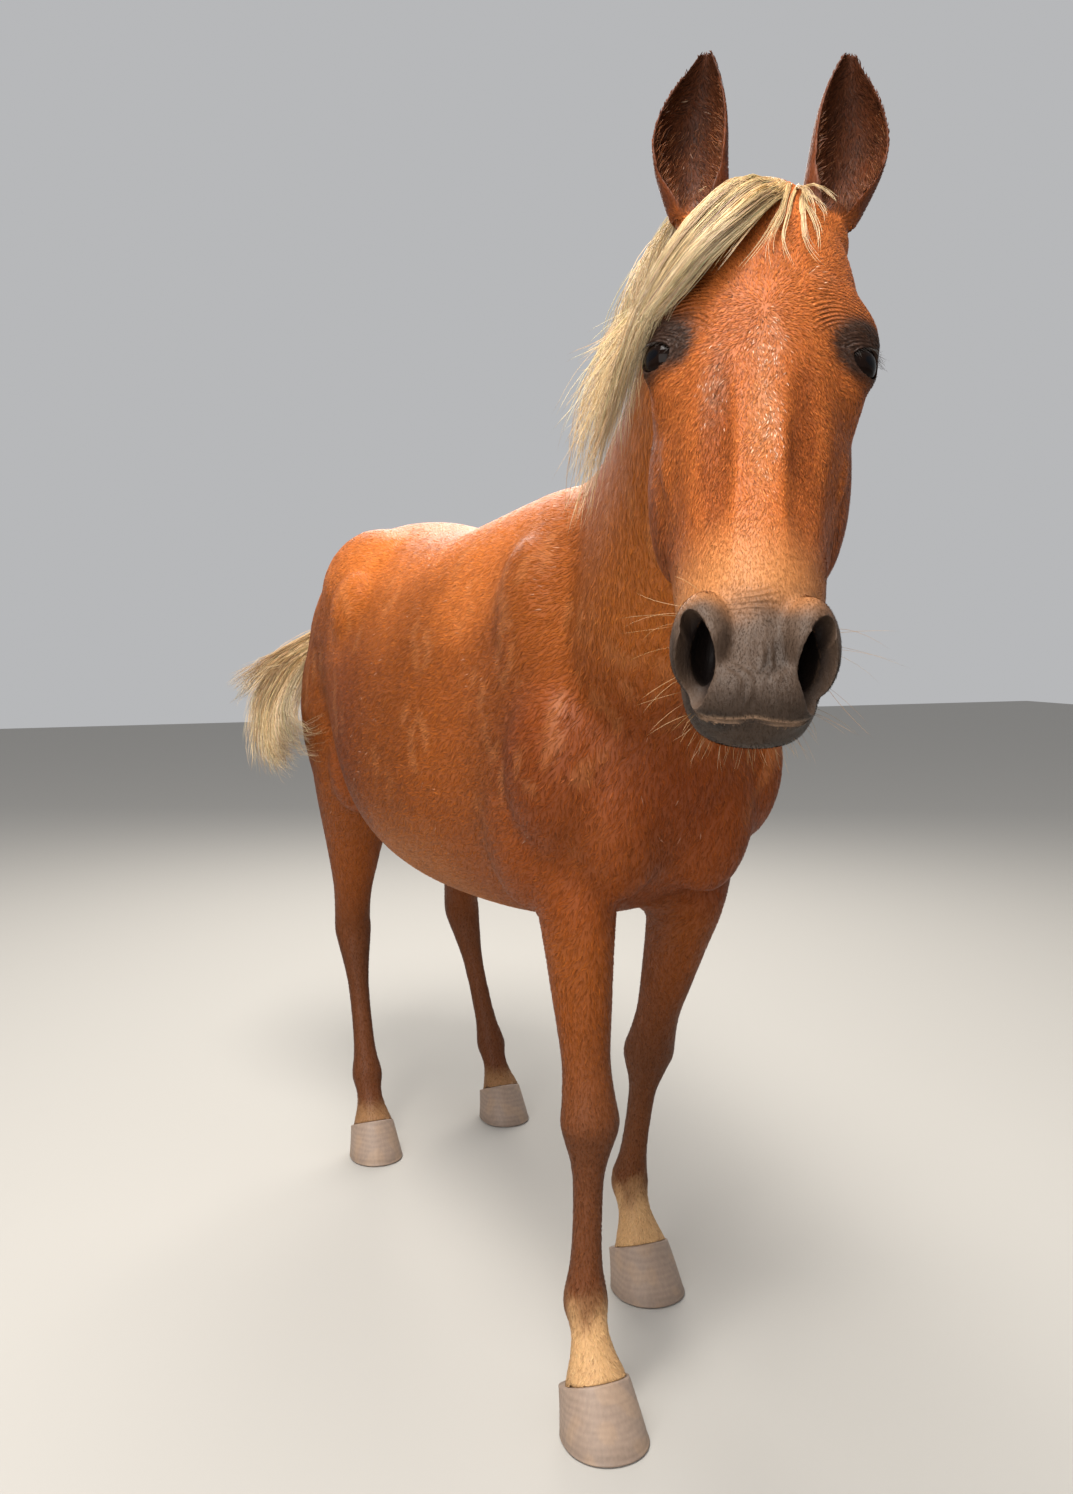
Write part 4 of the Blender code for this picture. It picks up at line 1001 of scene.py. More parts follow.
def frosting(head):
    """Where pale hairs are mixed in: a streak under the right eye, a patch over the left, the middle."""
    patchy = 0.25 + 0.75 * ramp(spots(head, 0.009, 29), 0.35, 0.70)
    streak = near(head, (-0.040, 0.02, -0.238), (0.018, 0.050, 0.066))
    streak += near(head, (0.050, 0.03, -0.122), (0.020, 0.05, 0.020))
    line = near(head, (0.004, 0.0, -0.205), (0.022, 0.06, 0.050))
    line += 0.8 * near(head, (0.006, 0.0, -0.285), (0.020, 0.06, 0.095))
    return streak * patchy, line * patchy


def layered(colours, *layers):
    """Blend rows of colours towards a few colours in turn, each as much as its amount says."""
    for target, amount in layers:
        colours = mix(colours, target, amount)
    return colours


def body_marks(places, cloud, fleck):
    """The colours of neck, trunk and legs, with painted light on the top of the back and painted shade on
    chest and flanks.
    """
    y, z = places[:, 1], places[:, 2]
    body = 1.0 - on_head(places)
    belly = ramp(-z, -0.90, -0.70) * ramp(y, 0.02, 0.20) * ramp(-y, -0.72, -0.55)
    shaded_chest = ramp(-y, 0.02, 0.20) * ramp(z, 0.70, 0.80) * (1.0 - ramp(z, 1.02, 1.22))
    shaded_flank = ramp(y, 0.30, 0.50) * ramp(-y, -0.78, -0.60) * (1.0 - ramp(z, 1.0, 1.2)) * ramp(z, 0.68, 0.80)
    pastern = ramp(-z - 0.03 * fleck, -0.215, -0.140) * ramp(-y, -0.35, -0.30)
    dusty = body * ramp(spots(places, 0.14, 17), 0.52, 0.80) * ramp(fleck, 0.40, 0.75) * ramp(z, 0.80, 1.00)
    return layered(
        np.tile(np.array(CHESTNUT), (len(places), 1)),
        (NECK_GOLD, body * ramp(-y, 0.12, 0.42) * ramp(z, 0.95, 1.2)),
        # painted light along the top of the back
        (PAINTED_BACK_LIGHT, body * ramp(z + 0.10 * cloud, 1.16, 1.36) * ramp(y, -0.15, 0.1)),
        (HAY_BELLY, belly * (0.6 + 0.4 * cloud)),
        # painted shade on the chest and the lower flanks
        (PAINTED_CHEST_SHADE, 0.80 * shaded_chest * (0.5 + 0.5 * cloud)),
        (PAINTED_CHEST_SHADE, 0.50 * shaded_flank),
        (LEG_BROWN, 0.90 * ramp(-z, -0.66, -0.42)),
        (SAND, 0.85 * pastern),
        (SAND, 0.30 * ramp(-z, -0.13, -0.09) * ramp(y, 0.35, 0.45)),
        (DUST, 0.16 * dusty),
    )


def face_marks(colours, places, head, half, cloud, fleck):
    """The head over the body's colours: painted shade on the cheeks, in the temples and in the hollows
    beside the nose, where it makes stripes, and pale hairs.
    """
    down = -head[:, 2]
    face = on_head(places)
    cheek_shade = face * ramp(half[:, 1], 0.075, 0.125) * ramp(down, 0.10, 0.16)
    temple_shade = near(half, (0.066, 0.050, -0.110), (0.034, 0.060, 0.055))
    nose_hollow_shade = near(half, (0.036, 0.02, -0.300), (0.024, 0.070, 0.150))
    streak, centre_line = frosting(head)
    return layered(
        colours,
        (FACE, face),
        # painted shade on the cheeks, in the temples and in the hollows beside the nose
        (PAINTED_FACE_SHADE, 0.50 * cheek_shade),
        (PAINTED_FACE_SHADE, 0.40 * face * temple_shade),
        (PAINTED_FACE_SHADE, 0.55 * face * ramp(nose_hollow_shade * (0.5 + 0.9 * fleck), 0.05, 0.85)),
        (NOSE_TAN, 0.30 * face * near(half, (0.0, 0.0, -0.29), (0.022, 0.06, 0.13))),
        (NOSE_TAN, 0.85 * face * ramp(down - 0.02 * cloud, 0.355, 0.430)),
        (FROST, 0.13 * face * np.clip(streak + centre_line, 0.0, 1.0)),
    )


def eye_and_ear_marks(colours, places, half, fleck):
    """Painted shade in the wrinkles' grooves, the dark skin round the eyes and the ears, darkest in their
    cups.
    """
    face = on_head(places)
    depth, phase = folds(places)
    # Painted shade: colour darkened in bands along the wrinkles
    colours = colours * (1.0 - 0.42 * depth * (0.5 + 0.5 * np.sin(2.0 * math.pi * phase)))[:, None]
    x, y, z = EYE_CENTRE
    shade = near(half, (x, y - 0.004, z + 0.008), (0.058, 0.056, 0.048))
    ear, cup = ear_part(places)
    rooted = near(half, (0.060, 0.040, 0.004), (0.034, 0.050, 0.034))
    ahead = ramp(-half[:, 1], -0.075, -0.045)
    return layered(
        colours,
        (EYE_SHADE, 0.95 * face * ramp(shade + 0.1 * fleck, 0.12, 0.52)),
        (EAR_BACK, ear),
        (EAR_DARK, 0.8 * face * ramp(rooted, 0.1, 0.7) * ahead),
        (EAR_DARK, ear * ramp(half[:, 2], 0.075, 0.130) * 0.75),
        (EAR_DARK, cup * (0.62 + 0.38 * spots(places, 0.03, 41))),
    )


def muzzle_marks(colours, places, head, half, fleck):
    """The bare muzzle, lighter at its top and with painted shade towards its end, with the pale edge of the
    lip and painted shade in the mouth's line and deep in the nostrils.
    """
    hz = head[:, 2]
    face = on_head(places)
    bare = face * ramp(-hz - 0.012 * spots(places, 0.05, 5), 0.418, 0.480)
    colours = mix(colours, MUZZLE, bare)
    # Mottled darker by the flecks; lighter at the top, partly paler skin and partly painted light; darker
    # to the end, which is painted shade
    colours *= (1.0 - 0.40 * bare * ramp(fleck, 0.50, 0.9) + 0.50 * bare * ramp(hz, -0.510, -0.450)
                - 0.30 * bare * ramp(-hz, 0.505, 0.555))[:, None]
    gap, above = from_mouth(half)
    rim = (1.0 - ramp(gap, 0.0020, 0.0065)) * (above > 0.0) * ramp(-half[:, 0], -0.050, -0.030)
    inside, deep = in_nostril(places)
    return layered(
        colours,
        (LIP_EDGE, 0.85 * bare * rim),
        # painted shade in the line of the mouth and deep in the nostrils
        (PAINTED_HOLLOW_SHADE, 0.9 * bare * (1.0 - ramp(gap, 0.0014, 0.0030))),
        (MUZZLE, inside),
        (PAINTED_HOLLOW_SHADE, face * deep),
    )


def markings(places):
    """The colour of skin and coat at each point: one function for both."""
    head = in_head(places)
    half = half_head(places)
    cloud = spots(places, 0.30, 11)
    fleck = spots(places, 0.045, 3)
    colours = body_marks(places, cloud, fleck)
    colours = face_marks(colours, places, head, half, cloud, fleck)
    colours = eye_and_ear_marks(colours, places, half, fleck)
    colours = muzzle_marks(colours, places, head, half, fleck)
    colours *= (0.88 + 0.24 * spots(places, 0.35, 13))[:, None]
    return np.clip(colours, 0.0, 1.0)


def paint(mesh, name, colours):
    """Store a colour at every point of a mesh."""
    layer = mesh.attributes.new(name, "FLOAT_COLOR", "POINT")
    full = np.ones((len(mesh.vertices), 4), np.float32)
    full[:, :3] = colours
    layer.data.foreach_set("color", full.ravel())


def note(mesh, name, values):
    """Store a number at every point of a mesh."""
    mesh.attributes.new(name, "FLOAT", "POINT").data.foreach_set("value", values.astype(np.float32))


hide = as_object("hide", skin)
hide.data.shade_smooth()
places = rows_of(hide.data, "co")
normals = rows_of(hide.data, "normal")
thin = np.clip(bareness(places) + ear_part(places)[0], 0.0, 1.0)
places -= normals * (COAT_DEPTH * (1.0 - 0.85 * thin))[:, None]
hide.data.vertices.foreach_set("co", places.astype(np.float32).ravel())
hide.data.update()
paint(hide.data, "marks", markings(places))
note(hide.data, "bare", bareness(places))
fold_depth, fold_phase = folds(places)
note(hide.data, "fold_depth", fold_depth)
note(hide.data, "fold_phase", fold_phase)

# The hide is laid out flat, so that every tuft can take its colour from its root's place
bpy.context.view_layer.update()
for other in [item for item in bpy.context.view_layer.objects if item]:
    other.select_set(False)
bpy.context.view_layer.objects.active = hide
hide.select_set(True)
bpy.ops.object.mode_set(mode="EDIT")
bpy.ops.mesh.select_all(action="SELECT")
bpy.ops.uv.smart_project(angle_limit=math.radians(75.0), island_margin=0.002)
bpy.ops.object.mode_set(mode="OBJECT")
hide.data.uv_layers.active.name = "OFBake"

hide_places = rows_of(hide.data, "co")
hide_normals = rows_of(hide.data, "normal")
hide_tris = read(hide.data.polygons, "vertices", 3, np.int32)
hide_flat = read(hide.data.uv_layers["OFBake"].data, "uv", 2).reshape(-1, 3, 2).astype(float)
hide_tree = surface_of(hide)


def shader_of(name):
    """A new material with its shader node and its other nodes."""
    made = bpy.data.materials.new(name)
    made.use_nodes = True
    nodes = made.node_tree.nodes
    return made, nodes, made.node_tree.links, nodes["Principled BSDF"]


def node(nodes, kind, **values):
    """Add a shader node and set its own choices."""
    made = nodes.new("ShaderNode" + kind)
    for key, value in values.items():
        setattr(made, key, value)
    return made


def attribute(nodes, name):
    """What a mesh stores under a name, as sockets."""
    return node(nodes, "Attribute", attribute_name=name).outputs


def maths(nodes, links, operation, one, two):
    """A sum of two values, each a number or a socket."""
    made = node(nodes, "Math", operation=operation)
    for socket, value in zip(made.inputs, (one, two)):
        if isinstance(value, (int, float)):
            socket.default_value = value
        else:
            links.new(value, socket)
    return made.outputs[0]


def noise(nodes, links, scale, detail=3.0, stretch=(1.0, 1.0, 1.0)):
    """Cloudy noise on the object's own coordinates, a socket from 0 to 1."""
    where = node(nodes, "TexCoord").outputs["Object"]
    pull = node(nodes, "Mapping")
    pull.inputs["Scale"].default_value = stretch
    links.new(where, pull.inputs["Vector"])
    cloud = node(nodes, "TexNoise")
    cloud.inputs["Scale"].default_value = scale
    cloud.inputs["Detail"].default_value = detail
    links.new(pull.outputs[0], cloud.inputs["Vector"])
    return cloud.outputs["Fac"]


def bump(nodes, links, height, depth, shader):
    """Let a height socket dent the surface by up to a depth in metres."""
    dent = node(nodes, "Bump")
    dent.inputs["Distance"].default_value = depth
    dent.inputs["Strength"].default_value = 1.0
    links.new(height, dent.inputs["Height"])
    links.new(dent.outputs[0], shader.inputs["Normal"])


def tinted(nodes, links, shader, amount, value):
    """Colour from the marks, made lighter and darker by a value round one half."""
    level = maths(nodes, links, "MULTIPLY_ADD", value, amount)
    level.node.inputs[2].default_value = 1.0 - 0.5 * amount
    scale = node(nodes, "VectorMath", operation="SCALE")
    links.new(attribute(nodes, "marks")["Color"], scale.inputs[0])
    links.new(level, scale.inputs["Scale"])
    links.new(scale.outputs[0], shader.inputs["Base Color"])


hide_paint, nodes, links, shader = shader_of("hide")
bare = attribute(nodes, "bare")["Fac"]
grain = noise(nodes, links, 420.0, 3.0, (1.0, 0.45, 0.30))
tinted(nodes, links, shader, 0.5, grain)
turned = maths(nodes, links, "MULTIPLY", attribute(nodes, "fold_phase")["Fac"], 2.0 * math.pi)
ridge = maths(nodes, links, "SINE", turned, 0.0)
ridge = maths(nodes, links, "MULTIPLY", ridge, attribute(nodes, "fold_depth")["Fac"])
wander = noise(nodes, links, 60.0, 4.0, (1.0, 1.0, 0.35))
lines = maths(nodes, links, "SINE", maths(nodes, links, "MULTIPLY", wander, 95.0), 0.0)
crease = maths(nodes, links, "MULTIPLY", maths(nodes, links, "ABSOLUTE", lines, 0.0), bare)
pores = maths(nodes, links, "MULTIPLY", noise(nodes, links, 1400.0, 2.0), bare)
height = maths(nodes, links, "MULTIPLY", grain, 0.6)
for relief, share in ((ridge, 0.9), (crease, 0.10), (pores, 0.25)):
    height = maths(nodes, links, "ADD", height, maths(nodes, links, "MULTIPLY", relief, share))
bump(nodes, links, height, 0.0011, shader)
dull = maths(nodes, links, "ADD", maths(nodes, links, "MULTIPLY", grain, 0.2), 0.46)
links.new(dull, shader.inputs["Roughness"])
shader.inputs["Specular IOR Level"].default_value = 0.22


def settle(thing, material, finish, *stands_for):
    """Move a finished piece to its place on the frame, and say what it is made of and stands for."""
    if thing.name in work.objects:
        work.objects.unlink(thing)
    bpy.context.scene.collection.objects.link(thing)
    thing.data.transform(Matrix.Translation(FLOOR_CENTRE))
    thing.data.materials.clear()
    thing.data.materials.append(material)
    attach(thing, "root")
    if stands_for:
        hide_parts(*stands_for)


FLESH = ["head", "neck", "torso", "ear_right", "ear_left"] + list(LEGS)
settle(hide, hide_paint, "coat", *FLESH)

# Eyes. Wet, dark balls set in the lids, almost black all over, with a long pupil that lies level.
# Each faces outwards and forwards and a little down, as its lids do.
IRIS = (0.0065, 0.003, 0.002)
PUPIL = (0.002, 0.002, 0.003)
PUPIL_SIZE = (0.46, 0.24)
EYE_WHITE = (0.008, 0.005, 0.004)
eye_paint, nodes, links, shader = shader_of("eye")
tinted(nodes, links, shader, 0.8, noise(nodes, links, 320.0, 4.0))
shader.inputs["Roughness"].default_value = 0.09
shader.inputs["Specular IOR Level"].default_value = 0.075
for side, name in ((RIGHT, "right"), (LEFT, "left")):
    centre, axis, corner, up = eyes[side]
    ball = bmesh.new()
    bmesh.ops.create_uvsphere(ball, u_segments=64, v_segments=48, radius=EYE_RADIUS)
    turn = Matrix((corner, up, corner.cross(up))).transposed().to_4x4()
    bmesh.ops.transform(ball, matrix=Matrix.Translation(centre) @ turn, verts=ball.verts)
    bmesh.ops.recalc_face_normals(ball, faces=ball.faces)
    ball = as_object("eye_" + name + "_ball", ball)
    ball.data.shade_smooth()
    rays = (rows_of(ball.data, "co") - np.array(centre)) / EYE_RADIUS
    along = rays @ np.array(corner)
    rise = rays @ np.array(up)
    front = rays @ np.array(axis)
    colours = np.tile(np.array(EYE_WHITE), (len(rays), 1))
    reach = np.hypot(along, rise)
    colours = mix(colours, IRIS, (1.0 - ramp(reach, 0.72, 0.80)) * (front > 0))
    slot = np.hypot(along / PUPIL_SIZE[0], rise / PUPIL_SIZE[1])
    colours = mix(colours, PUPIL, (1.0 - ramp(slot, 0.85, 1.05)) * (front > 0))
    paint(ball.data, "marks", colours)
    settle(ball, eye_paint, "eye", "eye_" + name)

# Hooves. Horn walls that widen to the ground, a little rounder in front than behind, with faint
# growth rings and a lower edge that is darker towards the ground. The slanting top meets the hairline of
# the pastern.

# Half width and length on the ground, the same at the coronet, and how far the toe stands ahead
HOOF_SIZES = {
    "fore": (0.064, 0.132, 0.052, 0.096, 0.052),
    "hind": (0.058, 0.124, 0.047, 0.090, 0.046),
}
RING_DEPTH = 0.0005
RING_BEAT = 58.0
HORN_RINGS = 26
SOLE_INSET = 0.93
SOLE_EDGE = 0.003
WAIST = 0.012


def hoof(name, sizes, joints):
    """A hoof: rings from the flat sole up to the slanting coronet, with ridges of growth."""
    ground_half, ground_length, top_half, top_length, toe_ahead = sizes
    point = Vector(joints[4])
    bm = bmesh.new()
    bmesh.ops.create_grid(bm, x_segments=72, y_segments=HORN_RINGS + 1, size=0.5)
    for vert in bm.verts:
        angle = 2.0 * math.pi * (vert.co.x + 0.5)
        ring = round((vert.co.y + 0.5) * (HORN_RINGS + 1))
        rise = max(0, ring - 1) / HORN_RINGS
        inset = SOLE_INSET if ring == 0 else 1.0 - WAIST * math.sin(math.pi * rise)
        half = (ground_half + (top_half - ground_half) * rise) * inset
        length = (ground_length + (top_length - ground_length) * rise) * inset
        half -= RING_DEPTH * (0.5 + 0.5 * math.sin(RING_BEAT * rise + 1.5 * math.sin(angle)))
        across = math.cos(angle)
        ahead = math.sin(angle)
        square = 0.80 if ahead < 0 else 0.95
        x = half * math.copysign(abs(across) ** square, across)
        y = -0.5 * length * math.copysign(abs(ahead) ** square, ahead)
        middle = point.y - (toe_ahead + 0.5 * (top_length - ground_length)) * (1.0 - rise)
        y += middle + 0.006 * rise
        top = point.z + (y - point.y) * -math.tan(CORONET_SLOPE)
        vert.co = Vector((point.x + x, y, max(0.0, top * rise)))
        if ring == 1:
            vert.co.z = SOLE_EDGE
    bmesh.ops.remove_doubles(bm, verts=bm.verts, dist=WELD)
    bmesh.ops.holes_fill(bm, edges=bm.edges, sides=0)
    bmesh.ops.recalc_face_normals(bm, faces=bm.faces)
    bmesh.ops.triangulate(bm, faces=[face for face in bm.faces if len(face.verts) > 4])
    return as_object(name, bm)


HORN = (0.285, 0.205, 0.155)
HORN_DARK = (0.150, 0.104, 0.078)
horn, nodes, links, shader = shader_of("horn")
fibres = noise(nodes, links, 190.0, 3.0, (1.0, 1.0, 0.10))
tinted(nodes, links, shader, 0.40, fibres)
bump(nodes, links, fibres, 0.0006, shader)
shader.inputs["Roughness"].default_value = 0.55
for leg_name, (leg_side, leg_form, leg_joints) in LEGS.items():
    foot_name = leg_name.replace("leg", "hoof")
    foot = hoof(foot_name + "_horn", HOOF_SIZES[leg_name.split("_")[0]], leg_joints)
    foot.data.shade_smooth()
    horn_places = rows_of(foot.data, "co")
    rings = 0.5 + 0.5 * np.sin(horn_places[:, 2] * 640.0 + 3.0 * spots(horn_places, 0.06, 71))
    # Darker towards the ground
    low_darkening = ramp(-horn_places[:, 2], -0.030, 0.0)
    horn_colours = np.tile(np.array(HORN), (len(horn_places), 1))
    horn_colours = mix(horn_colours, HORN_DARK, 0.30 * rings + 0.45 * low_darkening)
    horn_colours = mix(horn_colours, SAND, 0.10 * ramp(spots(horn_places, 0.05, 73), 0.55, 0.9))
    paint(foot.data, "marks", horn_colours)
    settle(foot, horn, "hoof", foot_name)

# Coat. Short hair that lies close: slim pointed tufts, rooted in the hide and combed along the body,
# the head and the legs. It is longest on the body, shorter on the legs and jaw, and fine and short
# on the face and muzzle.
FACE_TUFTS = 60000
BODY_TUFTS = 62000
LEG_TUFTS = 40000
FACE_PIECES = ("coat_face", "coat_cheeks")
SKIN_LIFT = 0.0005
ROOT_SINK = 0.0004
RIDGE_RISE = 0.0009
RIDGE_STEP = 0.0004
RIDGE_SHADE = 0.50
BODY_LONG = 0.0150
LEG_LONG = 0.0085
FACE_LONG = 0.0056
CHEEK_LONGER = 0.0050
NOSE_LONG = 0.0030
EAR_LONG = 0.0042
FULL_WIDTH_LONG = 0.0058
LEG_TOP = 0.62
SWERVE = 0.16
COAT_SEED = 100
PATCH = (0.0015, 0.0012)


def unit(rows):
    """Rows of directions, each made one long."""
    return rows / np.maximum(np.linalg.norm(rows, axis=-1, keepdims=True), 1e-9)


def on_hide(points):
    """The nearest places on the hide to some points, the way out there, and their places laid flat."""
    spots_found = np.empty((len(points), 3))
    faces_found = np.empty(len(points), np.int64)
    for index, point in enumerate(points.tolist()):
        spots_found[index], _, faces_found[index], _ = hide_tree.find_nearest(point)
    a, b, c = (hide_places[hide_tris[faces_found, corner]] for corner in range(3))
    whole = np.cross(b - a, c - a)
    size = np.maximum((whole * whole).sum(1), 1e-20)
    part_b = (np.cross(spots_found - a, c - a) * whole).sum(1) / size
    part_c = (np.cross(b - a, spots_found - a) * whole).sum(1) / size
    shares = np.clip(np.stack((1.0 - part_b - part_c, part_b, part_c), 1), 0.0, 1.0)[:, :, None]
    outs = unit((hide_normals[hide_tris[faces_found]] * shares).sum(1))
    return spots_found, outs, (hide_flat[faces_found] * shares).sum(1)


def scattered(count, weight, dice):
    """Roots spread over the hide, as thick as a weight for each triangle says."""
    a, b, c = (hide_places[hide_tris[:, corner]] for corner in range(3))
    chance = np.cumsum(0.5 * np.linalg.norm(np.cross(b - a, c - a), axis=1) * weight)
    faces = np.searchsorted(chance, (np.arange(count) + dice.uniform(0.0, 1.0, count)) / count * chance[-1])
    faces = np.minimum(faces, len(hide_tris) - 1)
    one = np.sqrt(dice.uniform(0.0, 1.0, count))
    two = dice.uniform(0.0, 1.0, count)
    shares = np.stack((1.0 - one, one * (1.0 - two), one * two), 1)[:, :, None]
    roots = (hide_places[hide_tris[faces]] * shares).sum(1)
    outs = unit((hide_normals[hide_tris[faces]] * shares).sum(1))
    return roots, outs, (hide_flat[faces] * shares).sum(1)


def lie(places, outs):
    """The way the hair lies: back and down over the body, down the legs, outward from the whorl."""
    y, z = places[:, 1], places[:, 2]
    ways = np.tile(np.array((0.0, 0.9, -0.42)), (len(places), 1))

    def turn(target, amount):
        """Turn the hair towards a way, where the amount says so."""
        ways[:] = ways + (np.array(target) - ways) * amount[:, None]

    turn((0.0, 0.45, -0.90), ramp(-y, 0.10, 0.40))
    turn((0.0, 0.30, -0.95), ramp(y, 0.70, 0.95))
    turn((0.0, 0.75, 0.10), ramp(-z, -0.86, -0.72) * ramp(y, 0.0, 0.15) * ramp(-y, -0.70, -0.55))
    turn((0.0, 0.10, -1.0), ramp(-z, -0.72, -0.62))
    head = in_head(places)
    rise = head[:, 2] + 0.165
    radial = np.stack((head[:, 0] * 1.1, 0.9 * ramp(np.abs(head[:, 0]), 0.03, 0.08) * 0.10, rise), 1)
    radial /= np.maximum(np.linalg.norm(radial, axis=1), 0.01)[:, None]
    radial[:, 1] += 0.5 * ramp(head[:, 1], 0.05, 0.12)
    ear = ear_part(places)[0]
    radial = radial * (1.0 - ear[:, None]) + np.array((0.0, -0.1, 1.0)) * ear[:, None]
    turned = unit(radial) @ np.array(HEAD_PLACE.to_3x3().normalized()).T
    face = on_head(places)[:, None]
    ways = ways * (1.0 - face) + turned * face
    return unit(ways - outs * (ways * outs).sum(1)[:, None])


def flat_patch(mesh, roots, size):
    """Give each tuft a small patch of the map at its root's place, size points to a tuft."""
    flat = read(mesh.loops, "vertex_index", 1, np.int32).ravel()
    local = flat % size
    offset = np.stack((PATCH[0] * (2.0 * local / (size - 1) - 1.0), PATCH[1] * (local % 3 - 1.0)), 1)
    layer = mesh.uv_layers.new(name="OFBake")
    layer.data.foreach_set("uv", (roots[flat // size] + offset).astype(np.float32).ravel())


def mesh_from(name, verts, quads, tris):
    """A mesh from arrays of points, four-sided faces and three-sided faces."""
    mesh = bpy.data.meshes.new(name)
    mesh.vertices.add(len(verts))
    mesh.vertices.foreach_set("co", verts.astype(np.float32).ravel())
    corners = np.concatenate((quads.ravel(), tris.ravel())).astype(np.int32)
    mesh.loops.add(len(corners))
    mesh.loops.foreach_set("vertex_index", corners)
    starts = np.concatenate((np.arange(len(quads)) * 4, 4 * len(quads) + np.arange(len(tris)) * 3))
    mesh.polygons.add(len(starts))
    mesh.polygons.foreach_set("loop_start", starts.astype(np.int32))
    mesh.update(calc_edges=True)
    thing = bpy.data.objects.new(name, mesh)
    work.objects.link(thing)
    return thing


def ridges(places):
    """How high the wrinkles stand at each place, from -1 to 1."""
    depth, phase = folds(places)
    return depth * np.sin(2.0 * math.pi * phase)


def wrinkled(places, outs, ways, sides):
    """The way out at each place, tilted by the wrinkles there, and how high they stand."""
    here = ridges(places)
    for way in (ways, sides):
        slope = (ridges(places + way * RIDGE_STEP) - here) / RIDGE_STEP * RIDGE_RISE
        outs = outs - way * slope[:, None]
    return unit(outs), here


def coat_long(places):
    """How long the coat is at each place."""
    z = places[:, 2]
    half = half_head(places)
    face = on_head(places)
    long = np.full(len(places), BODY_LONG)
    long += (LEG_LONG - long) * ramp(-z, -0.72, -0.55)
    long += (FACE_LONG + CHEEK_LONGER * ramp(half[:, 1], 0.06, 0.13) - long) * face
    near_muzzle = face * ramp(-half[:, 2], 0.33, 0.45)
    long += (NOSE_LONG - long) * near_muzzle
    long *= 1.0 - 0.50 * np.clip(folds(places)[0], 0.0, 1.0) * (1.0 - near_muzzle)
    ear, cup = ear_part(places)
    return long + (EAR_LONG + 0.004 * cup - long) * ear


def coat_stand(places):
    """How far the tips stand off: more on the head, most in the ears."""
    return 0.05 + 0.05 * on_head(places) + 0.10 * ear_part(places)[1]


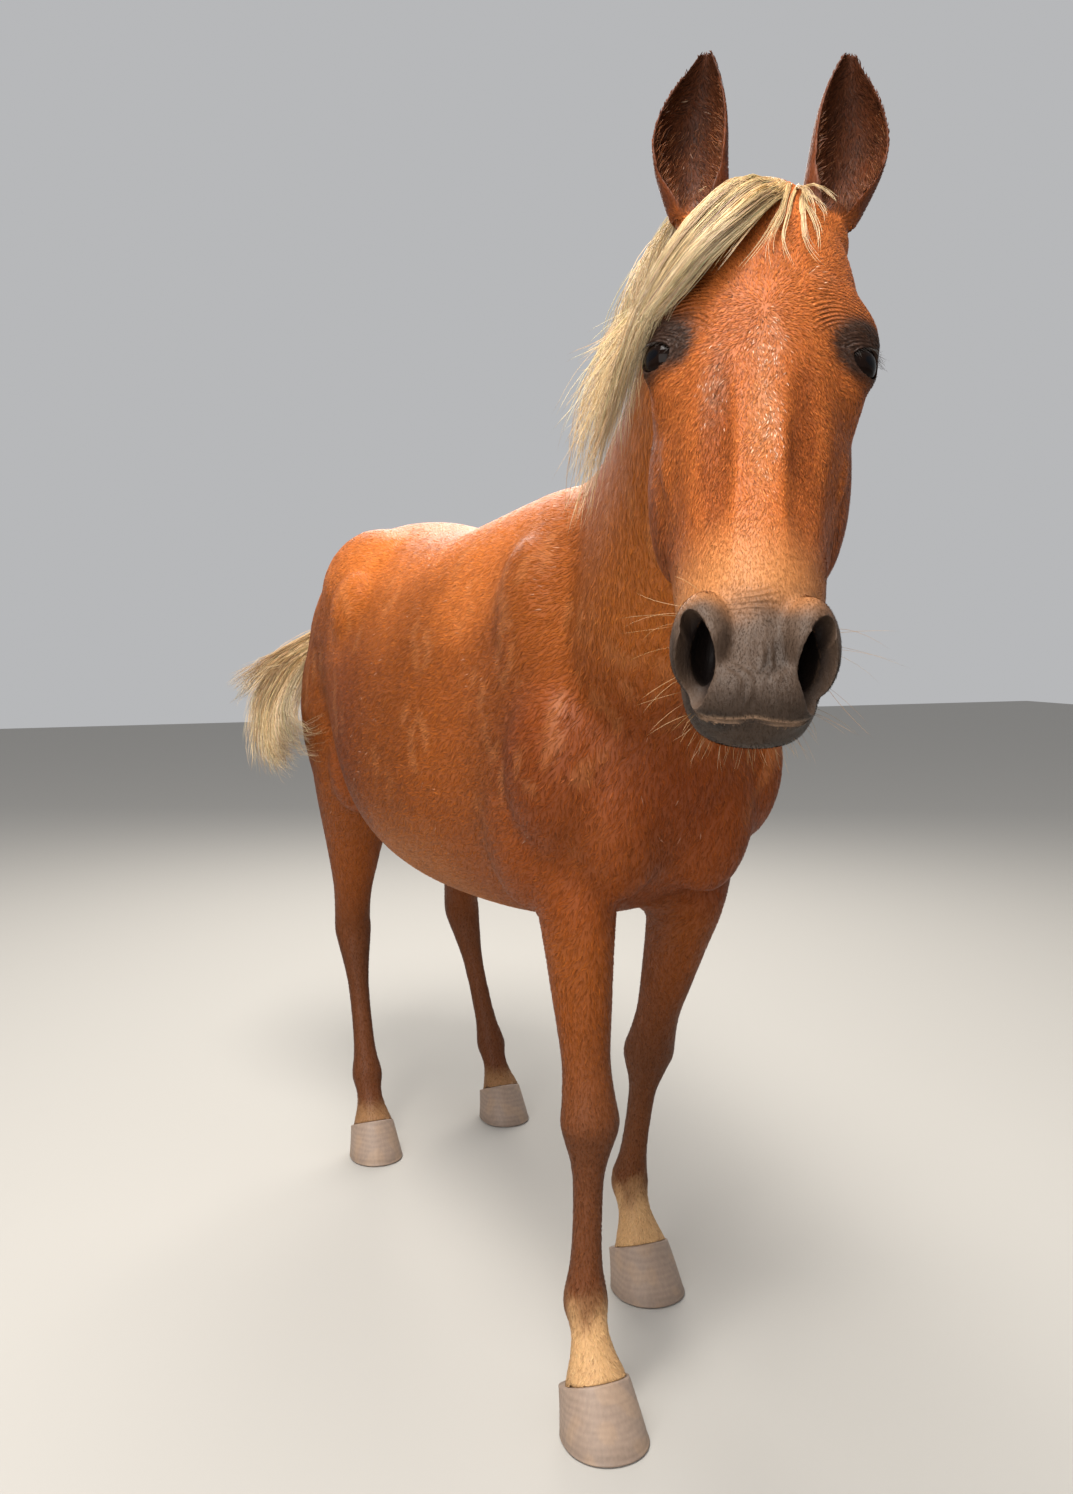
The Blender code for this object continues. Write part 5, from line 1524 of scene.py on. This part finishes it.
def tufts(name, count, weight, wide, seed):
    """One piece of coat: kite-shaped tufts that follow the hide, with their root's colour."""
    dice = np.random.default_rng(seed)
    middle = hide_places[hide_tris].mean(1)
    roots, outs, flat = scattered(count, weight(middle), dice)
    ways = lie(roots, outs)
    sides = np.cross(outs, ways)
    swing = (dice.normal(0.0, SWERVE, count) + 0.9 * (spots(roots, 0.022, 51) - 0.5))[:, None]
    ways = unit(ways + sides * swing)
    sides = np.cross(outs, ways)
    full = coat_long(roots)
    long = (full * dice.uniform(0.7, 1.2, count))[:, None]
    bend = (dice.normal(0.0, 0.06, count))[:, None]
    half, half_out, _ = on_hide(roots + ways * long * 0.45)
    tip, tip_out, _ = on_hide(roots + (ways + sides * bend) * long)
    lost = ((half_out * outs).sum(1) < 0.3) | ((tip_out * outs).sum(1) < 0.0)
    half[lost] = (roots + ways * long * 0.20)[lost]
    tip[lost] = (roots + ways * long * 0.40)[lost]
    half_out[lost] = outs[lost]
    tip_out[lost] = outs[lost]
    up = (coat_stand(roots) * dice.uniform(0.4, 1.4, count))[:, None] * long
    half += half_out * (SKIN_LIFT + 0.35 * up)
    tip += tip_out * (0.9 * SKIN_LIFT + up)
    wide = wide * np.clip(full / FULL_WIDTH_LONG, 0.45, 1.0)
    wide = (wide * dice.uniform(0.7, 1.25, count))[:, None] * -sides
    verts = np.stack((roots - wide * 0.30 - outs * ROOT_SINK, roots + wide * 0.30 - outs * ROOT_SINK,
                      half + wide * 0.5, half - wide * 0.5, tip), 1).reshape(-1, 3)
    base = np.arange(count)[:, None] * 5
    thing = mesh_from(name, verts, base + np.array((0, 1, 2, 3)), base + np.array((3, 2, 4)))
    strong = 1.0 if name in FACE_PIECES else 0.55
    strong = strong * (1.0 - 0.65 * bareness(roots))[:, None, None]
    tint = 1.0 + strong * (dice.normal(0.0, 0.15, (count, 1, 1)) + dice.normal(0.0, 0.025, (count, 1, 3)))
    kind = dice.uniform(0.0, 1.0, (count, 1, 1))
    tint = tint - 0.34 * strong * (kind < 0.22) + strong * (kind > 0.86) * np.array((0.20, 0.34, 0.5))
    # Painted shade among the roots and painted light on the tips: each tuft darker at its root, lighter at
    # its tip
    fade = 1.0 + strong * np.array((-0.48, -0.48, -0.05, -0.05, 0.42))[None, :, None]
    base_colour = markings(roots)
    streak, centre_line = frosting(in_head(roots))
    chance = on_head(roots) * np.clip(0.15 * streak + 0.26 * centre_line, 0.0, 1.0)
    flecked = ramp(spots(roots, 0.25, 23), 0.45, 0.8) * ramp(roots[:, 2], 0.6, 0.8)
    chance += 0.008 * (1.0 - on_head(roots)) * flecked
    pale = chance > dice.uniform(0.0, 1.0, count)
    base_colour = mix(base_colour, FROST, (0.20 + 0.28 * on_head(roots)) * pale)
    faced = [outs, half_out, tip_out]
    shades = np.ones((count, 5, 1))
    if name in FACE_PIECES:
        for index, (spot, corners) in enumerate(((roots, (0, 1)), (half, (2, 3)), (tip, (4,)))):
            faced[index], high = wrinkled(spot, faced[index], ways, sides)
            for corner in corners:
                shades[:, corner, 0] += RIDGE_SHADE * high
    colours = np.clip(base_colour[:, None, :] * tint * fade * shades, 0.0, 1.0)
    paint(thing.data, "marks", colours.reshape(-1, 3))
    flat_patch(thing.data, flat, 5)
    thing.data.shade_smooth()
    lean = dice.normal(0.0, 0.13, (count, 1, 3))
    facing = unit(np.stack([faced[index] for index in (0, 0, 1, 1, 2)], 1) + lean).reshape(-1, 3)
    thing.data.normals_split_custom_set_from_vertices(facing)
    return thing


def velvet(places):
    """How thick the hair stands on the head: thin on muzzle and lids, none in the nostrils."""
    hair = (1.0 - 0.60 * bareness(places)) * (1.0 - in_nostril(places)[0])
    lids = near(half_head(places), EYE_CENTRE, (0.030, 0.030, 0.026))
    thick = 1.0 + 0.8 * np.clip(folds(places)[0], 0.0, 1.0)
    return on_head(places) * hair * (1.0 - ramp(lids, 0.05, 0.20)) * thick


def face_weight(places):
    """The front of the head."""
    return velvet(places) * (half_head(places)[:, 1] < 0.055)


def cheek_weight(places):
    """The rest of the head, thicker on the ears."""
    return velvet(places) * (half_head(places)[:, 1] >= 0.055) * (1.0 + 0.8 * ear_part(places)[0])


def part_weight(low, high):
    """Weights for the part of the body between two places along its length, legs apart."""
    def weight(places):
        """1 between the two places, 0 on head and legs."""
        here = (places[:, 1] >= low) & (places[:, 1] < high) & (places[:, 2] > LEG_TOP)
        return here * (1.0 - on_head(places))
    return weight


def leg_weight(places):
    """The legs below the elbows and stifles."""
    return 1.0 * (places[:, 2] <= LEG_TOP)


coat_paint, nodes, links, shader = shader_of("coat")
tinted(nodes, links, shader, 0.35, noise(nodes, links, 300.0, 2.0))
shader.inputs["Roughness"].default_value = 0.50
shader.inputs["Specular IOR Level"].default_value = 0.10

# Each piece of coat: its name, how many tufts, where they stand and how wide they are
COATS = (
    ("coat_face", FACE_TUFTS, face_weight, 0.0010),
    ("coat_cheeks", FACE_TUFTS, cheek_weight, 0.0013),
    ("coat_front", BODY_TUFTS, part_weight(-2.0, 0.10), 0.0019),
    ("coat_barrel", BODY_TUFTS, part_weight(0.10, 0.62), 0.0023),
    ("coat_rump", BODY_TUFTS, part_weight(0.62, 2.0), 0.0023),
    ("coat_legs", LEG_TUFTS, leg_weight, 0.0017),
)
for seed, (name, count, weight, wide) in enumerate(COATS):
    piece = tufts(name, count, weight, wide, COAT_SEED + seed)
    settle(piece, coat_paint, "coat")

# Forelock. Long flaxen hair from the poll, swept over the right brow, clear of the eye, and down the
# neck behind it, with short wisps over the forehead and looser hair blown out to the right.

# Guide lines of the main lock, of the wisps and of the loose hair, in the head's frame
FORELOCK = (
    ((0.016, 0.052, 0.002), (0.008, 0.002, -0.034), (-0.020, -0.014, -0.086), (-0.056, -0.012, -0.130),
     (-0.092, 0.026, -0.164), (-0.114, 0.080, -0.210)),
    ((0.006, 0.055, 0.010), (-0.012, 0.000, -0.014), (-0.048, -0.004, -0.060), (-0.084, 0.020, -0.112),
     (-0.112, 0.066, -0.166), (-0.132, 0.120, -0.240)),
    ((0.000, 0.060, 0.016), (-0.028, 0.022, 0.004), (-0.066, 0.026, -0.042), (-0.098, 0.050, -0.100),
     (-0.126, 0.090, -0.170), (-0.144, 0.150, -0.270)),
)
WISPS = (
    ((0.012, 0.050, 0.002), (0.000, 0.002, -0.045), (-0.026, -0.014, -0.105), (-0.052, -0.016, -0.155)),
    ((0.012, 0.050, 0.002), (0.000, 0.002, -0.040), (-0.030, -0.014, -0.094), (-0.066, -0.014, -0.140)),
    ((0.014, 0.050, 0.002), (0.012, 0.000, -0.050), (-0.006, -0.014, -0.110), (-0.026, -0.018, -0.150)),
    ((0.014, 0.050, 0.002), (0.014, 0.000, -0.055), (0.002, -0.014, -0.105), (0.004, -0.018, -0.150)),
    ((0.018, 0.050, 0.002), (0.020, 0.000, -0.050), (0.014, -0.012, -0.100), (0.024, -0.016, -0.140)),
    ((0.022, 0.050, 0.002), (0.032, 0.006, -0.045), (0.036, -0.004, -0.095), (0.064, -0.008, -0.145)),
    ((0.022, 0.050, 0.002), (0.036, 0.010, -0.035), (0.046, 0.002, -0.075), (0.044, -0.004, -0.110)),
    ((0.024, 0.050, 0.004), (0.040, 0.016, -0.016), (0.054, 0.012, -0.040), (0.056, 0.004, -0.070)),
    ((0.024, 0.050, 0.004), (0.040, 0.018, 0.000), (0.058, 0.018, -0.010), (0.066, 0.010, -0.030)),
    ((0.020, 0.050, 0.004), (0.030, 0.006, -0.016), (0.040, 0.000, -0.040), (0.040, -0.008, -0.080)),
)
BLOWN = (
    ((-0.050, 0.036, -0.040), (-0.100, 0.070, -0.095), (-0.145, 0.095, -0.130), (-0.180, 0.110, -0.150)),
    ((-0.070, 0.040, -0.065), (-0.120, 0.080, -0.120), (-0.158, 0.110, -0.170), (-0.190, 0.130, -0.215)),
    ((-0.090, 0.050, -0.100), (-0.128, 0.088, -0.160), (-0.156, 0.120, -0.215), (-0.176, 0.140, -0.270)),
    ((-0.100, 0.060, -0.120), (-0.130, 0.100, -0.190), (-0.150, 0.140, -0.250), (-0.164, 0.160, -0.310)),
)
HAIR_PALE = (0.780, 0.610, 0.370)
HAIR_GOLD = (0.500, 0.290, 0.105)
HAIR_ROOT = (0.560, 0.360, 0.150)
HAIR_POINTS = 11
hair_dice = np.random.default_rng(21)


def curve_rows(rows, count):
    """Read smooth curves at evenly spaced places. The rows run along the second axis."""
    spans = rows.shape[1] - 1
    here = np.linspace(0.0, 1.0, count) * spans
    first = np.minimum(here.astype(int), spans - 1)
    t = (here - first)[None, :, None]
    padded = np.concatenate((2 * rows[:, :1] - rows[:, 1:2], rows, 2 * rows[:, -1:] - rows[:, -2:-1]), 1)
    a, b, c, d = (padded[:, first + step] for step in range(4))
    return through(a, b, c, d, t)


def between(guides, across):
    """Paths between guides: guides are rows of points, across is 0 to 1 for each path."""
    spans = len(guides) - 1
    here = np.clip(across, 0.0, 1.0) * spans
    first = np.minimum(here.astype(int), spans - 1)
    t = (here - first)[:, None, None]
    return guides[first] * (1.0 - t) + guides[first + 1] * t


def combed(paths, outs, each, root_spread, tip_spread, wave, seed, shortest):
    """Spread hairs about the middle lines of their locks. Gives a path for every hair."""
    dice = np.random.default_rng(seed)
    locks, count = paths.shape[:2]
    owner = np.repeat(np.arange(locks), each)
    t = np.linspace(0.0, 1.0, count)[None, :, None]
    ahead = unit(np.gradient(paths, axis=1))
    side = unit(np.cross(ahead, outs))
    rise = np.cross(side, ahead)
    angle = dice.uniform(0.0, 2.0 * math.pi, len(owner))
    reach = np.sqrt(dice.uniform(0.0, 1.0, len(owner)))
    wide = (np.cos(angle) * reach)[:, None, None]
    tall = (np.sin(angle) * reach)[:, None, None]
    spread = root_spread * (1.0 - t) + tip_spread * t
    swing = dice.uniform(0.0, 6.3, len(owner))[:, None, None]
    beat = dice.uniform(3.0, 7.0, len(owner))[:, None, None]
    curl = wave * t * np.sin(beat * t + swing)
    lift = wave * t * np.cos(0.8 * beat * t + 2.0 * swing)
    aside = wide * spread + curl
    above = 0.45 * tall * spread + lift
    hairs = paths[owner] + side[owner] * aside + rise[owner] * above
    long = dice.uniform(shortest, 1.0, len(owner))
    along = np.linspace(0.0, 1.0, count)[None, :] * long[:, None] * (count - 1)
    low = np.minimum(along.astype(int), count - 2)
    part = (along - low)[:, :, None]
    rows = np.arange(len(owner))[:, None]
    return hairs[rows, low] * (1.0 - part) + hairs[rows, low + 1] * part, owner


def clear_of_hide(paths, lift, free):
    """Push the points of hairs out of the hide, apart from the first few of each hair."""
    moved = paths.copy()
    for row in moved:
        for index in range(free, len(row)):
            point = Vector(row[index])
            spot, out, _, gap = hide_tree.find_nearest(point)
            if (point - spot).dot(out) < 0.0 or gap < lift:
                row[index] = spot + out * lift
    return moved


def hair_mesh(name, paths, width, colours, spread, darker, tone=1.0):
    """Hairs as slender three-sided rods that taper to a point, each with its own tint.

    The colours are those of the root and the tip. Spread is how much the hairs differ, darker is
    the share of dark ones, and tone is one lightness for all or one for each hair.
    """
    many, count = paths.shape[:2]
    t = np.linspace(0.0, 1.0, count)[None, :, None]
    ahead = unit(np.gradient(paths, axis=1))
    side = unit(np.cross(ahead, np.array((0.31, 0.22, 0.93))))
    rise = np.cross(side, ahead)
    thick = 0.5 * width * hair_dice.uniform(0.7, 1.2, (many, 1, 1)) * (1.0 - 0.75 * t ** 2)
    rings = []
    for turn in range(3):
        angle = 2.0 * math.pi * turn / 3.0
        rings.append(paths + side * math.cos(angle) * thick + rise * math.sin(angle) * thick)
    verts = np.stack(rings, 2)
    verts[:, -1] = paths[:, -1:, :]
    verts = verts.reshape(many, -1, 3)[:, :3 * (count - 1) + 1]
    size = verts.shape[1]
    ring = np.arange(count - 2)[:, None] * 3
    turn = np.arange(3)[None, :]
    after = (turn + 1) % 3
    quads = np.stack((ring + turn, ring + after, ring + 3 + after, ring + 3 + turn), 2).reshape(-1, 4)
    last = 3 * (count - 2)
    tris = np.array([(last, last + 1, size - 1), (last + 1, last + 2, size - 1), (last + 2, last, size - 1),
                     (0, 2, 1)])
    base = np.arange(many)[:, None, None] * size
    thing = mesh_from(name, verts.reshape(-1, 3), (quads[None] + base).reshape(-1, 4),
                      (tris[None] + base).reshape(-1, 3))
    tint = np.reshape(tone, (-1, 1, 1)) + hair_dice.normal(0.0, spread, (many, 1, 1))
    tint = tint + hair_dice.normal(0.0, 0.04, (many, 1, 3))
    dark = hair_dice.uniform(0.0, 1.0, (many, 1, 1)) < darker
    tint = tint * (1.0 - 0.45 * dark * np.array((0.5, 0.8, 1.2)))
    fade = t[:, np.minimum(np.arange(size) // 3, count - 1)]
    shades = np.array(colours[0]) * (1.0 - fade) + np.array(colours[1]) * fade
    paint(thing.data, "marks", np.clip(shades * tint, 0.0, 1.0).reshape(-1, 3))
    flat_patch(thing.data, on_hide(paths[:, 0])[2], size)
    thing.data.shade_smooth()
    return thing


def outs_of(paths):
    """The way out of the hide at each point of some paths."""
    outs = np.empty_like(paths)
    for row, out_row in zip(paths, outs):
        for index, point in enumerate(row):
            out_row[index] = hide_tree.find_nearest(Vector(point))[1]
    return outs


hair_paint, nodes, links, shader = shader_of("long_hair")
tinted(nodes, links, shader, 0.35, noise(nodes, links, 130.0, 3.0))
shader.inputs["Roughness"].default_value = 0.42

FORELOCK_TUFTS = 70
FORELOCK_HAIRS = 26
reach = np.linspace(0.0, 1.0, HAIR_POINTS)[None, :, None]
guides = curve_rows(carried(FORELOCK, HEAD_PLACE), HAIR_POINTS)
across = (np.arange(FORELOCK_TUFTS) + 0.5) / FORELOCK_TUFTS
middles = between(guides, across)
middles += hair_dice.normal(0.0, 0.0045, (FORELOCK_TUFTS, 1, 3)) * reach
middles = clear_of_hide(middles, 0.004, 2)
outs = outs_of(middles)
middles += outs * hair_dice.uniform(0.0, 0.008, (FORELOCK_TUFTS, 1, 1)) * np.sin(math.pi * reach * 0.8)
main, owner = combed(middles, outs, FORELOCK_HAIRS, 0.0040, 0.0075, 0.0030, 31, 0.55)
# Each lock has its own lightness: partly its own tone, partly painted shade between the locks
tones = hair_dice.uniform(0.45, 1.10, FORELOCK_TUFTS)[owner]
strays = curve_rows(carried(WISPS, HEAD_PLACE), HAIR_POINTS)
strays = clear_of_hide(strays, 0.003, 1)
wisps = combed(strays, outs_of(strays), 14, 0.0022, 0.0030, 0.0030, 32, 0.5)[0]
strays = curve_rows(carried(BLOWN, HEAD_PLACE), HAIR_POINTS)
blown = combed(strays, outs_of(strays), 70, 0.012, 0.024, 0.008, 34, 0.40)[0]
hairs = clear_of_hide(np.concatenate((main, wisps, blown)), 0.0010, 1)
tones = np.concatenate((tones, np.full(len(hairs) - len(tones), 0.95)))
forelock = hair_mesh("forelock", hairs, 0.00075, (HAIR_ROOT, HAIR_PALE), 0.11, 0.16, tones)
settle(forelock, hair_paint, "long_hair")

# Mane. Coarser flaxen hair rooted along the crest, falling to the right behind the ears and to the
# left lower down.

# How far a lock stands out from the crest and how far it drops, at points from its root to its tip
MANE_OUT = (0.0, 0.034, 0.064, 0.084, 0.094, 0.092)
MANE_DROP = (0.0, -0.004, 0.040, 0.105, 0.180, 0.260)
MANE_TUFTS = 110
MANE_HAIRS = 22
crest = np.array(NECK)
paths = []
for index in range(MANE_TUFTS):
    place = 0.25 + 0.66 * (index + hair_dice.uniform(-0.6, 0.6)) / (MANE_TUFTS - 1)
    row, centre, right, up = section(crest, place, UP)
    root = centre + up * (row[4] - 0.012)
    to_right = place > 0.56 + 0.05 * hair_dice.normal()
    side = right if to_right else -right
    ends = math.sin(math.pi * min(1.0, max(0.0, (place - 0.20) / 0.78))) ** 0.6
    long = (0.90 if to_right else 0.62) * ends * hair_dice.uniform(0.62, 1.15)
    wide = (1.0 if to_right else 0.55) * (0.35 + 0.65 * ends) * hair_dice.uniform(0.85, 1.15)
    drift = Vector((0.0, 1.0, -0.5)).normalized() * hair_dice.normal(0.012, 0.022)
    path = [root] + [root + up * 0.016 * ends + side * out * wide - UP * drop * long + drift * drop / 0.18
                     for out, drop in zip(MANE_OUT[1:], MANE_DROP[1:])]
    paths.append([tuple(point) for point in path])
middles = curve_rows(np.array(paths), HAIR_POINTS)
middles = clear_of_hide(middles, 0.006, 2)
hairs, owner = combed(middles, outs_of(middles), MANE_HAIRS, 0.011, 0.017, 0.011, 33, 0.5)
hairs = clear_of_hide(hairs, 0.0014, 1)
tones = hair_dice.uniform(0.62, 1.08, MANE_TUFTS)[owner]
mane = hair_mesh("mane", hairs, 0.0010, (HAIR_ROOT, HAIR_PALE), 0.12, 0.15, tones)
settle(mane, hair_paint, "long_hair")

# Tail. Flaxen and golden hair rooted round the dock, caught as it swings out to the right and down
# behind the thigh. It takes the place of the solid tail, dock and all.

# Guide lines from the rearmost hair to the hair that swings furthest forward
TAIL_FALL = (
    ((-0.110, 1.165, 1.205), (-0.215, 1.205, 1.155), (-0.320, 1.160, 1.100), (-0.385, 1.100, 1.070),
     (-0.425, 1.040, 1.052)),
    ((-0.130, 1.180, 1.185), (-0.240, 1.185, 1.120), (-0.330, 1.100, 1.020), (-0.362, 1.010, 0.930),
     (-0.362, 0.945, 0.868)),
    ((-0.110, 1.160, 1.200), (-0.225, 1.165, 1.110), (-0.322, 1.050, 0.985), (-0.345, 0.930, 0.900),
     (-0.335, 0.850, 0.885)),
    ((-0.090, 1.140, 1.215), (-0.210, 1.120, 1.110), (-0.310, 0.960, 1.000), (-0.330, 0.760, 0.950),
     (-0.325, 0.560, 0.985)),
)
TAIL_ROOT = (-0.030, 1.120, 1.262)
TAIL_TUFTS = 56
TAIL_HAIRS = 42
guides = curve_rows(np.array(TAIL_FALL), HAIR_POINTS)
middles = between(guides, hair_dice.uniform(0.0, 1.0, TAIL_TUFTS))
early = np.array([(TAIL_ROOT,) + fall for fall in TAIL_FALL])
middles[::2] = between(curve_rows(early, HAIR_POINTS), hair_dice.uniform(0.0, 1.0, TAIL_TUFTS))[::2]
middles += hair_dice.normal(0.0, 0.014, (TAIL_TUFTS, 1, 3)) * (0.2 + 0.8 * reach)
middles = clear_of_hide(middles, 0.010, 2)
hairs, owner = combed(middles, outs_of(middles), TAIL_HAIRS, 0.012, 0.016, 0.011, 35, 0.6)
hairs = clear_of_hide(hairs, 0.0014, 1)
tones = hair_dice.uniform(0.55, 1.10, TAIL_TUFTS)[owner]
tail = hair_mesh("tail_hair", hairs, 0.0011, (HAIR_GOLD, HAIR_PALE), 0.15, 0.2, tones)
settle(tail, hair_paint, "long_hair", "tail")

# Fine hair of the head. Lashes on the upper lids, long feelers round nostrils, lips and chin, and the
# soft fringe that fills the cup of each ear.
LASHES = 50
LASH_LONG = 0.0085
LASH_COLOURS = ((0.014, 0.009, 0.007), (0.030, 0.018, 0.012))
FEELER_COLOURS = ((0.36, 0.20, 0.085), (0.60, 0.42, 0.22))
EAR_HAIRS = 1500
EAR_HAIR_COLOURS = ((0.10, 0.030, 0.012), (0.34, 0.12, 0.040))
BRISTLE_POINTS = 6
UP_ROW = np.array(UP)
fine_dice = np.random.default_rng(61)
head_turn = np.array(HEAD_PLACE.to_3x3().normalized())


def bristles(roots, ways, long, droop):
    """Paths of single hairs from their roots: out along their way, then drooping."""
    t = np.linspace(0.0, 1.0, BRISTLE_POINTS)[None, :, None]
    ways = unit(ways + fine_dice.normal(0.0, 0.10, ways.shape))
    long = (long * fine_dice.uniform(0.6, 1.2, len(roots)))[:, None, None]
    curl = fine_dice.normal(0.0, 0.16, (len(roots), 1, 3)) * long
    return roots[:, None, :] + ways[:, None, :] * long * t + (curl - UP_ROW * droop * long) * t * t


lashes = []
for side in (RIGHT, LEFT):
    centre, axis, corner, up = (np.array(item) for item in eyes[side])
    angle = np.linspace(0.35, math.pi - 0.35, LASHES) + fine_dice.normal(0.0, 0.03, LASHES)
    along = np.cos(angle) * np.where(np.cos(angle) > 0.0, LID_LENGTH[1], LID_LENGTH[0])
    rise = np.sin(angle) ** LID_POINT * LID_RISE[0]
    over, lift = lid_ways(corner, up)
    flat_spot = along[:, None] * over + (rise + 0.0006)[:, None] * lift
    high = np.sqrt(np.clip((EYE_RADIUS + LID_SHELL) ** 2 - (flat_spot ** 2).sum(1), 0.0, None))
    spot = centre + flat_spot + high[:, None] * axis
    ways = axis * 0.8 + flat_spot / 0.03 * 0.4 - UP_ROW * 0.75
    lashes.append(bristles(spot, unit(ways), LASH_LONG, 0.10))
lash_hair = hair_mesh("lashes", np.concatenate(lashes), 0.00028, LASH_COLOURS, 0.2, 0.0)
settle(lash_hair, hair_paint, "long_hair")

# Places of the feelers on one half of the head: where, which way, how many and how long. None grow
# in a nostril, and the left side has as many as the right side kept.
FEELERS = (
    ((0.056, 0.030, -0.470), (0.9, 0.1, -0.1), 7, 0.050),
    ((0.056, 0.036, -0.530), (0.9, 0.3, -0.4), 8, 0.040),
    ((0.036, 0.060, -0.548), (0.5, 0.4, -0.9), 12, 0.020),
    ((0.012, 0.072, -0.548), (0.2, 0.3, -1.0), 12, 0.016),
)
feelers = []
for (x, y, z), (wx, wy, wz), many, long in FEELERS:
    for side in (RIGHT, LEFT):
        spread = np.array((x * side, y, z)) + fine_dice.normal(0.0, 0.012, (many, 3))
        roots, outs, flat = on_hide(carried(spread, HEAD_PLACE))
        kept = in_nostril(roots)[0] < 0.5
        roots, outs, many = roots[kept], outs[kept], int(kept.sum())
        ways = unit(outs * 0.9 + head_turn @ np.array((wx * side, wy, wz)))
        feelers.append(bristles(roots, ways, long, 0.15))
feeler_hair = hair_mesh("feelers", np.concatenate(feelers), 0.00030, FEELER_COLOURS, 0.15, 0.2)
settle(feeler_hair, hair_paint, "long_hair")

cup_share = ear_part(hide_places[hide_tris].mean(1))[1] ** 3
ear_roots, ear_outs, flat = scattered(EAR_HAIRS, cup_share, fine_dice)
root_rows = in_head(ear_roots)
ear_ways = []
for root in root_rows:
    base, axis, opening, across = (np.array(item) for item in ear_axes(math.copysign(1.0, root[0])))
    ear_ways.append(axis * 0.9 + opening * 0.35 + across * 0.5 * np.sign((base - root) @ across))
ear_ways = unit(np.array(ear_ways) @ head_turn.T + ear_outs * 0.35)
ear_long = 0.006 + 0.009 * fine_dice.uniform(0.0, 1.0, EAR_HAIRS)
ear_long = ear_long * (1.0 - 0.85 * ramp(root_rows[:, 2], 0.06, 0.12))
ear_paths = bristles(ear_roots, ear_ways, ear_long, 0.05)
ear_hair = hair_mesh("ear_hair", ear_paths, 0.00045, EAR_HAIR_COLOURS, 0.25, 0.3)
settle(ear_hair, hair_paint, "long_hair")

# Floor, room, lights and camera. A plain pale floor in a grey room with three soft lamps, one high
# in front, one low at the left and one behind, and the camera where the photograph was taken from.
floor_mesh = bmesh.new()
bmesh.ops.create_grid(floor_mesh, x_segments=4, y_segments=4, size=14.0)
floor_data = bpy.data.meshes.new("floor")
floor_mesh.to_mesh(floor_data)
floor_mesh.free()
floor = bpy.data.objects.new("floor", floor_data)
bpy.context.scene.collection.objects.link(floor)
floor_paint, nodes, links, shader = shader_of("floor_paint")
shader.inputs["Base Color"].default_value = (0.40, 0.385, 0.36, 1.0)
shader.inputs["Roughness"].default_value = 0.9
floor.data.materials.append(floor_paint)

room = bpy.data.worlds.new("room")
bpy.context.scene.world = room
room.use_nodes = True
room.node_tree.nodes["Background"].inputs["Color"].default_value = (0.86, 0.87, 0.89, 1.0)
room.node_tree.nodes["Background"].inputs["Strength"].default_value = 0.55


def lamp(name, place, aim, size, power, tint):
    """A square soft light that faces a point."""
    light = bpy.data.lights.new(name, "AREA")
    light.shape = "SQUARE"
    light.size = size
    light.energy = power
    light.color = tint
    holder = bpy.data.objects.new(name, light)
    bpy.context.scene.collection.objects.link(holder)
    holder.location = place
    holder.rotation_euler = (Vector(aim) - Vector(place)).to_track_quat("-Z", "Y").to_euler()


lamp("key", (-1.2, -1.5, 4.8), (0.0, -0.2, 1.1), 1.8, 330.0, (1.0, 0.96, 0.90))
lamp("fill", (-3.2, -3.4, 2.2), (0.0, -0.4, 1.0), 3.0, 130.0, (1.0, 0.98, 0.95))
lamp("back", (1.2, 3.4, 3.4), (0.0, 0.6, 1.1), 2.2, 160.0, (1.0, 0.95, 0.88))

photo_camera = bpy.data.cameras.new("camera")
photo_camera.sensor_fit = "VERTICAL"
photo_camera.sensor_height = 36.0
photo_camera.lens = 30.597
camera = bpy.data.objects.new("camera", photo_camera)
bpy.context.scene.collection.objects.link(camera)
camera.location = (-0.750, -1.955, 1.185)
camera.rotation_euler = (math.radians(84.57), 0.0, math.radians(-21.63))
bpy.context.scene.camera = camera
bpy.context.scene.view_settings.view_transform = "Standard"

for tool in list(work.objects):
    bpy.data.objects.remove(tool)
bpy.data.collections.remove(work)
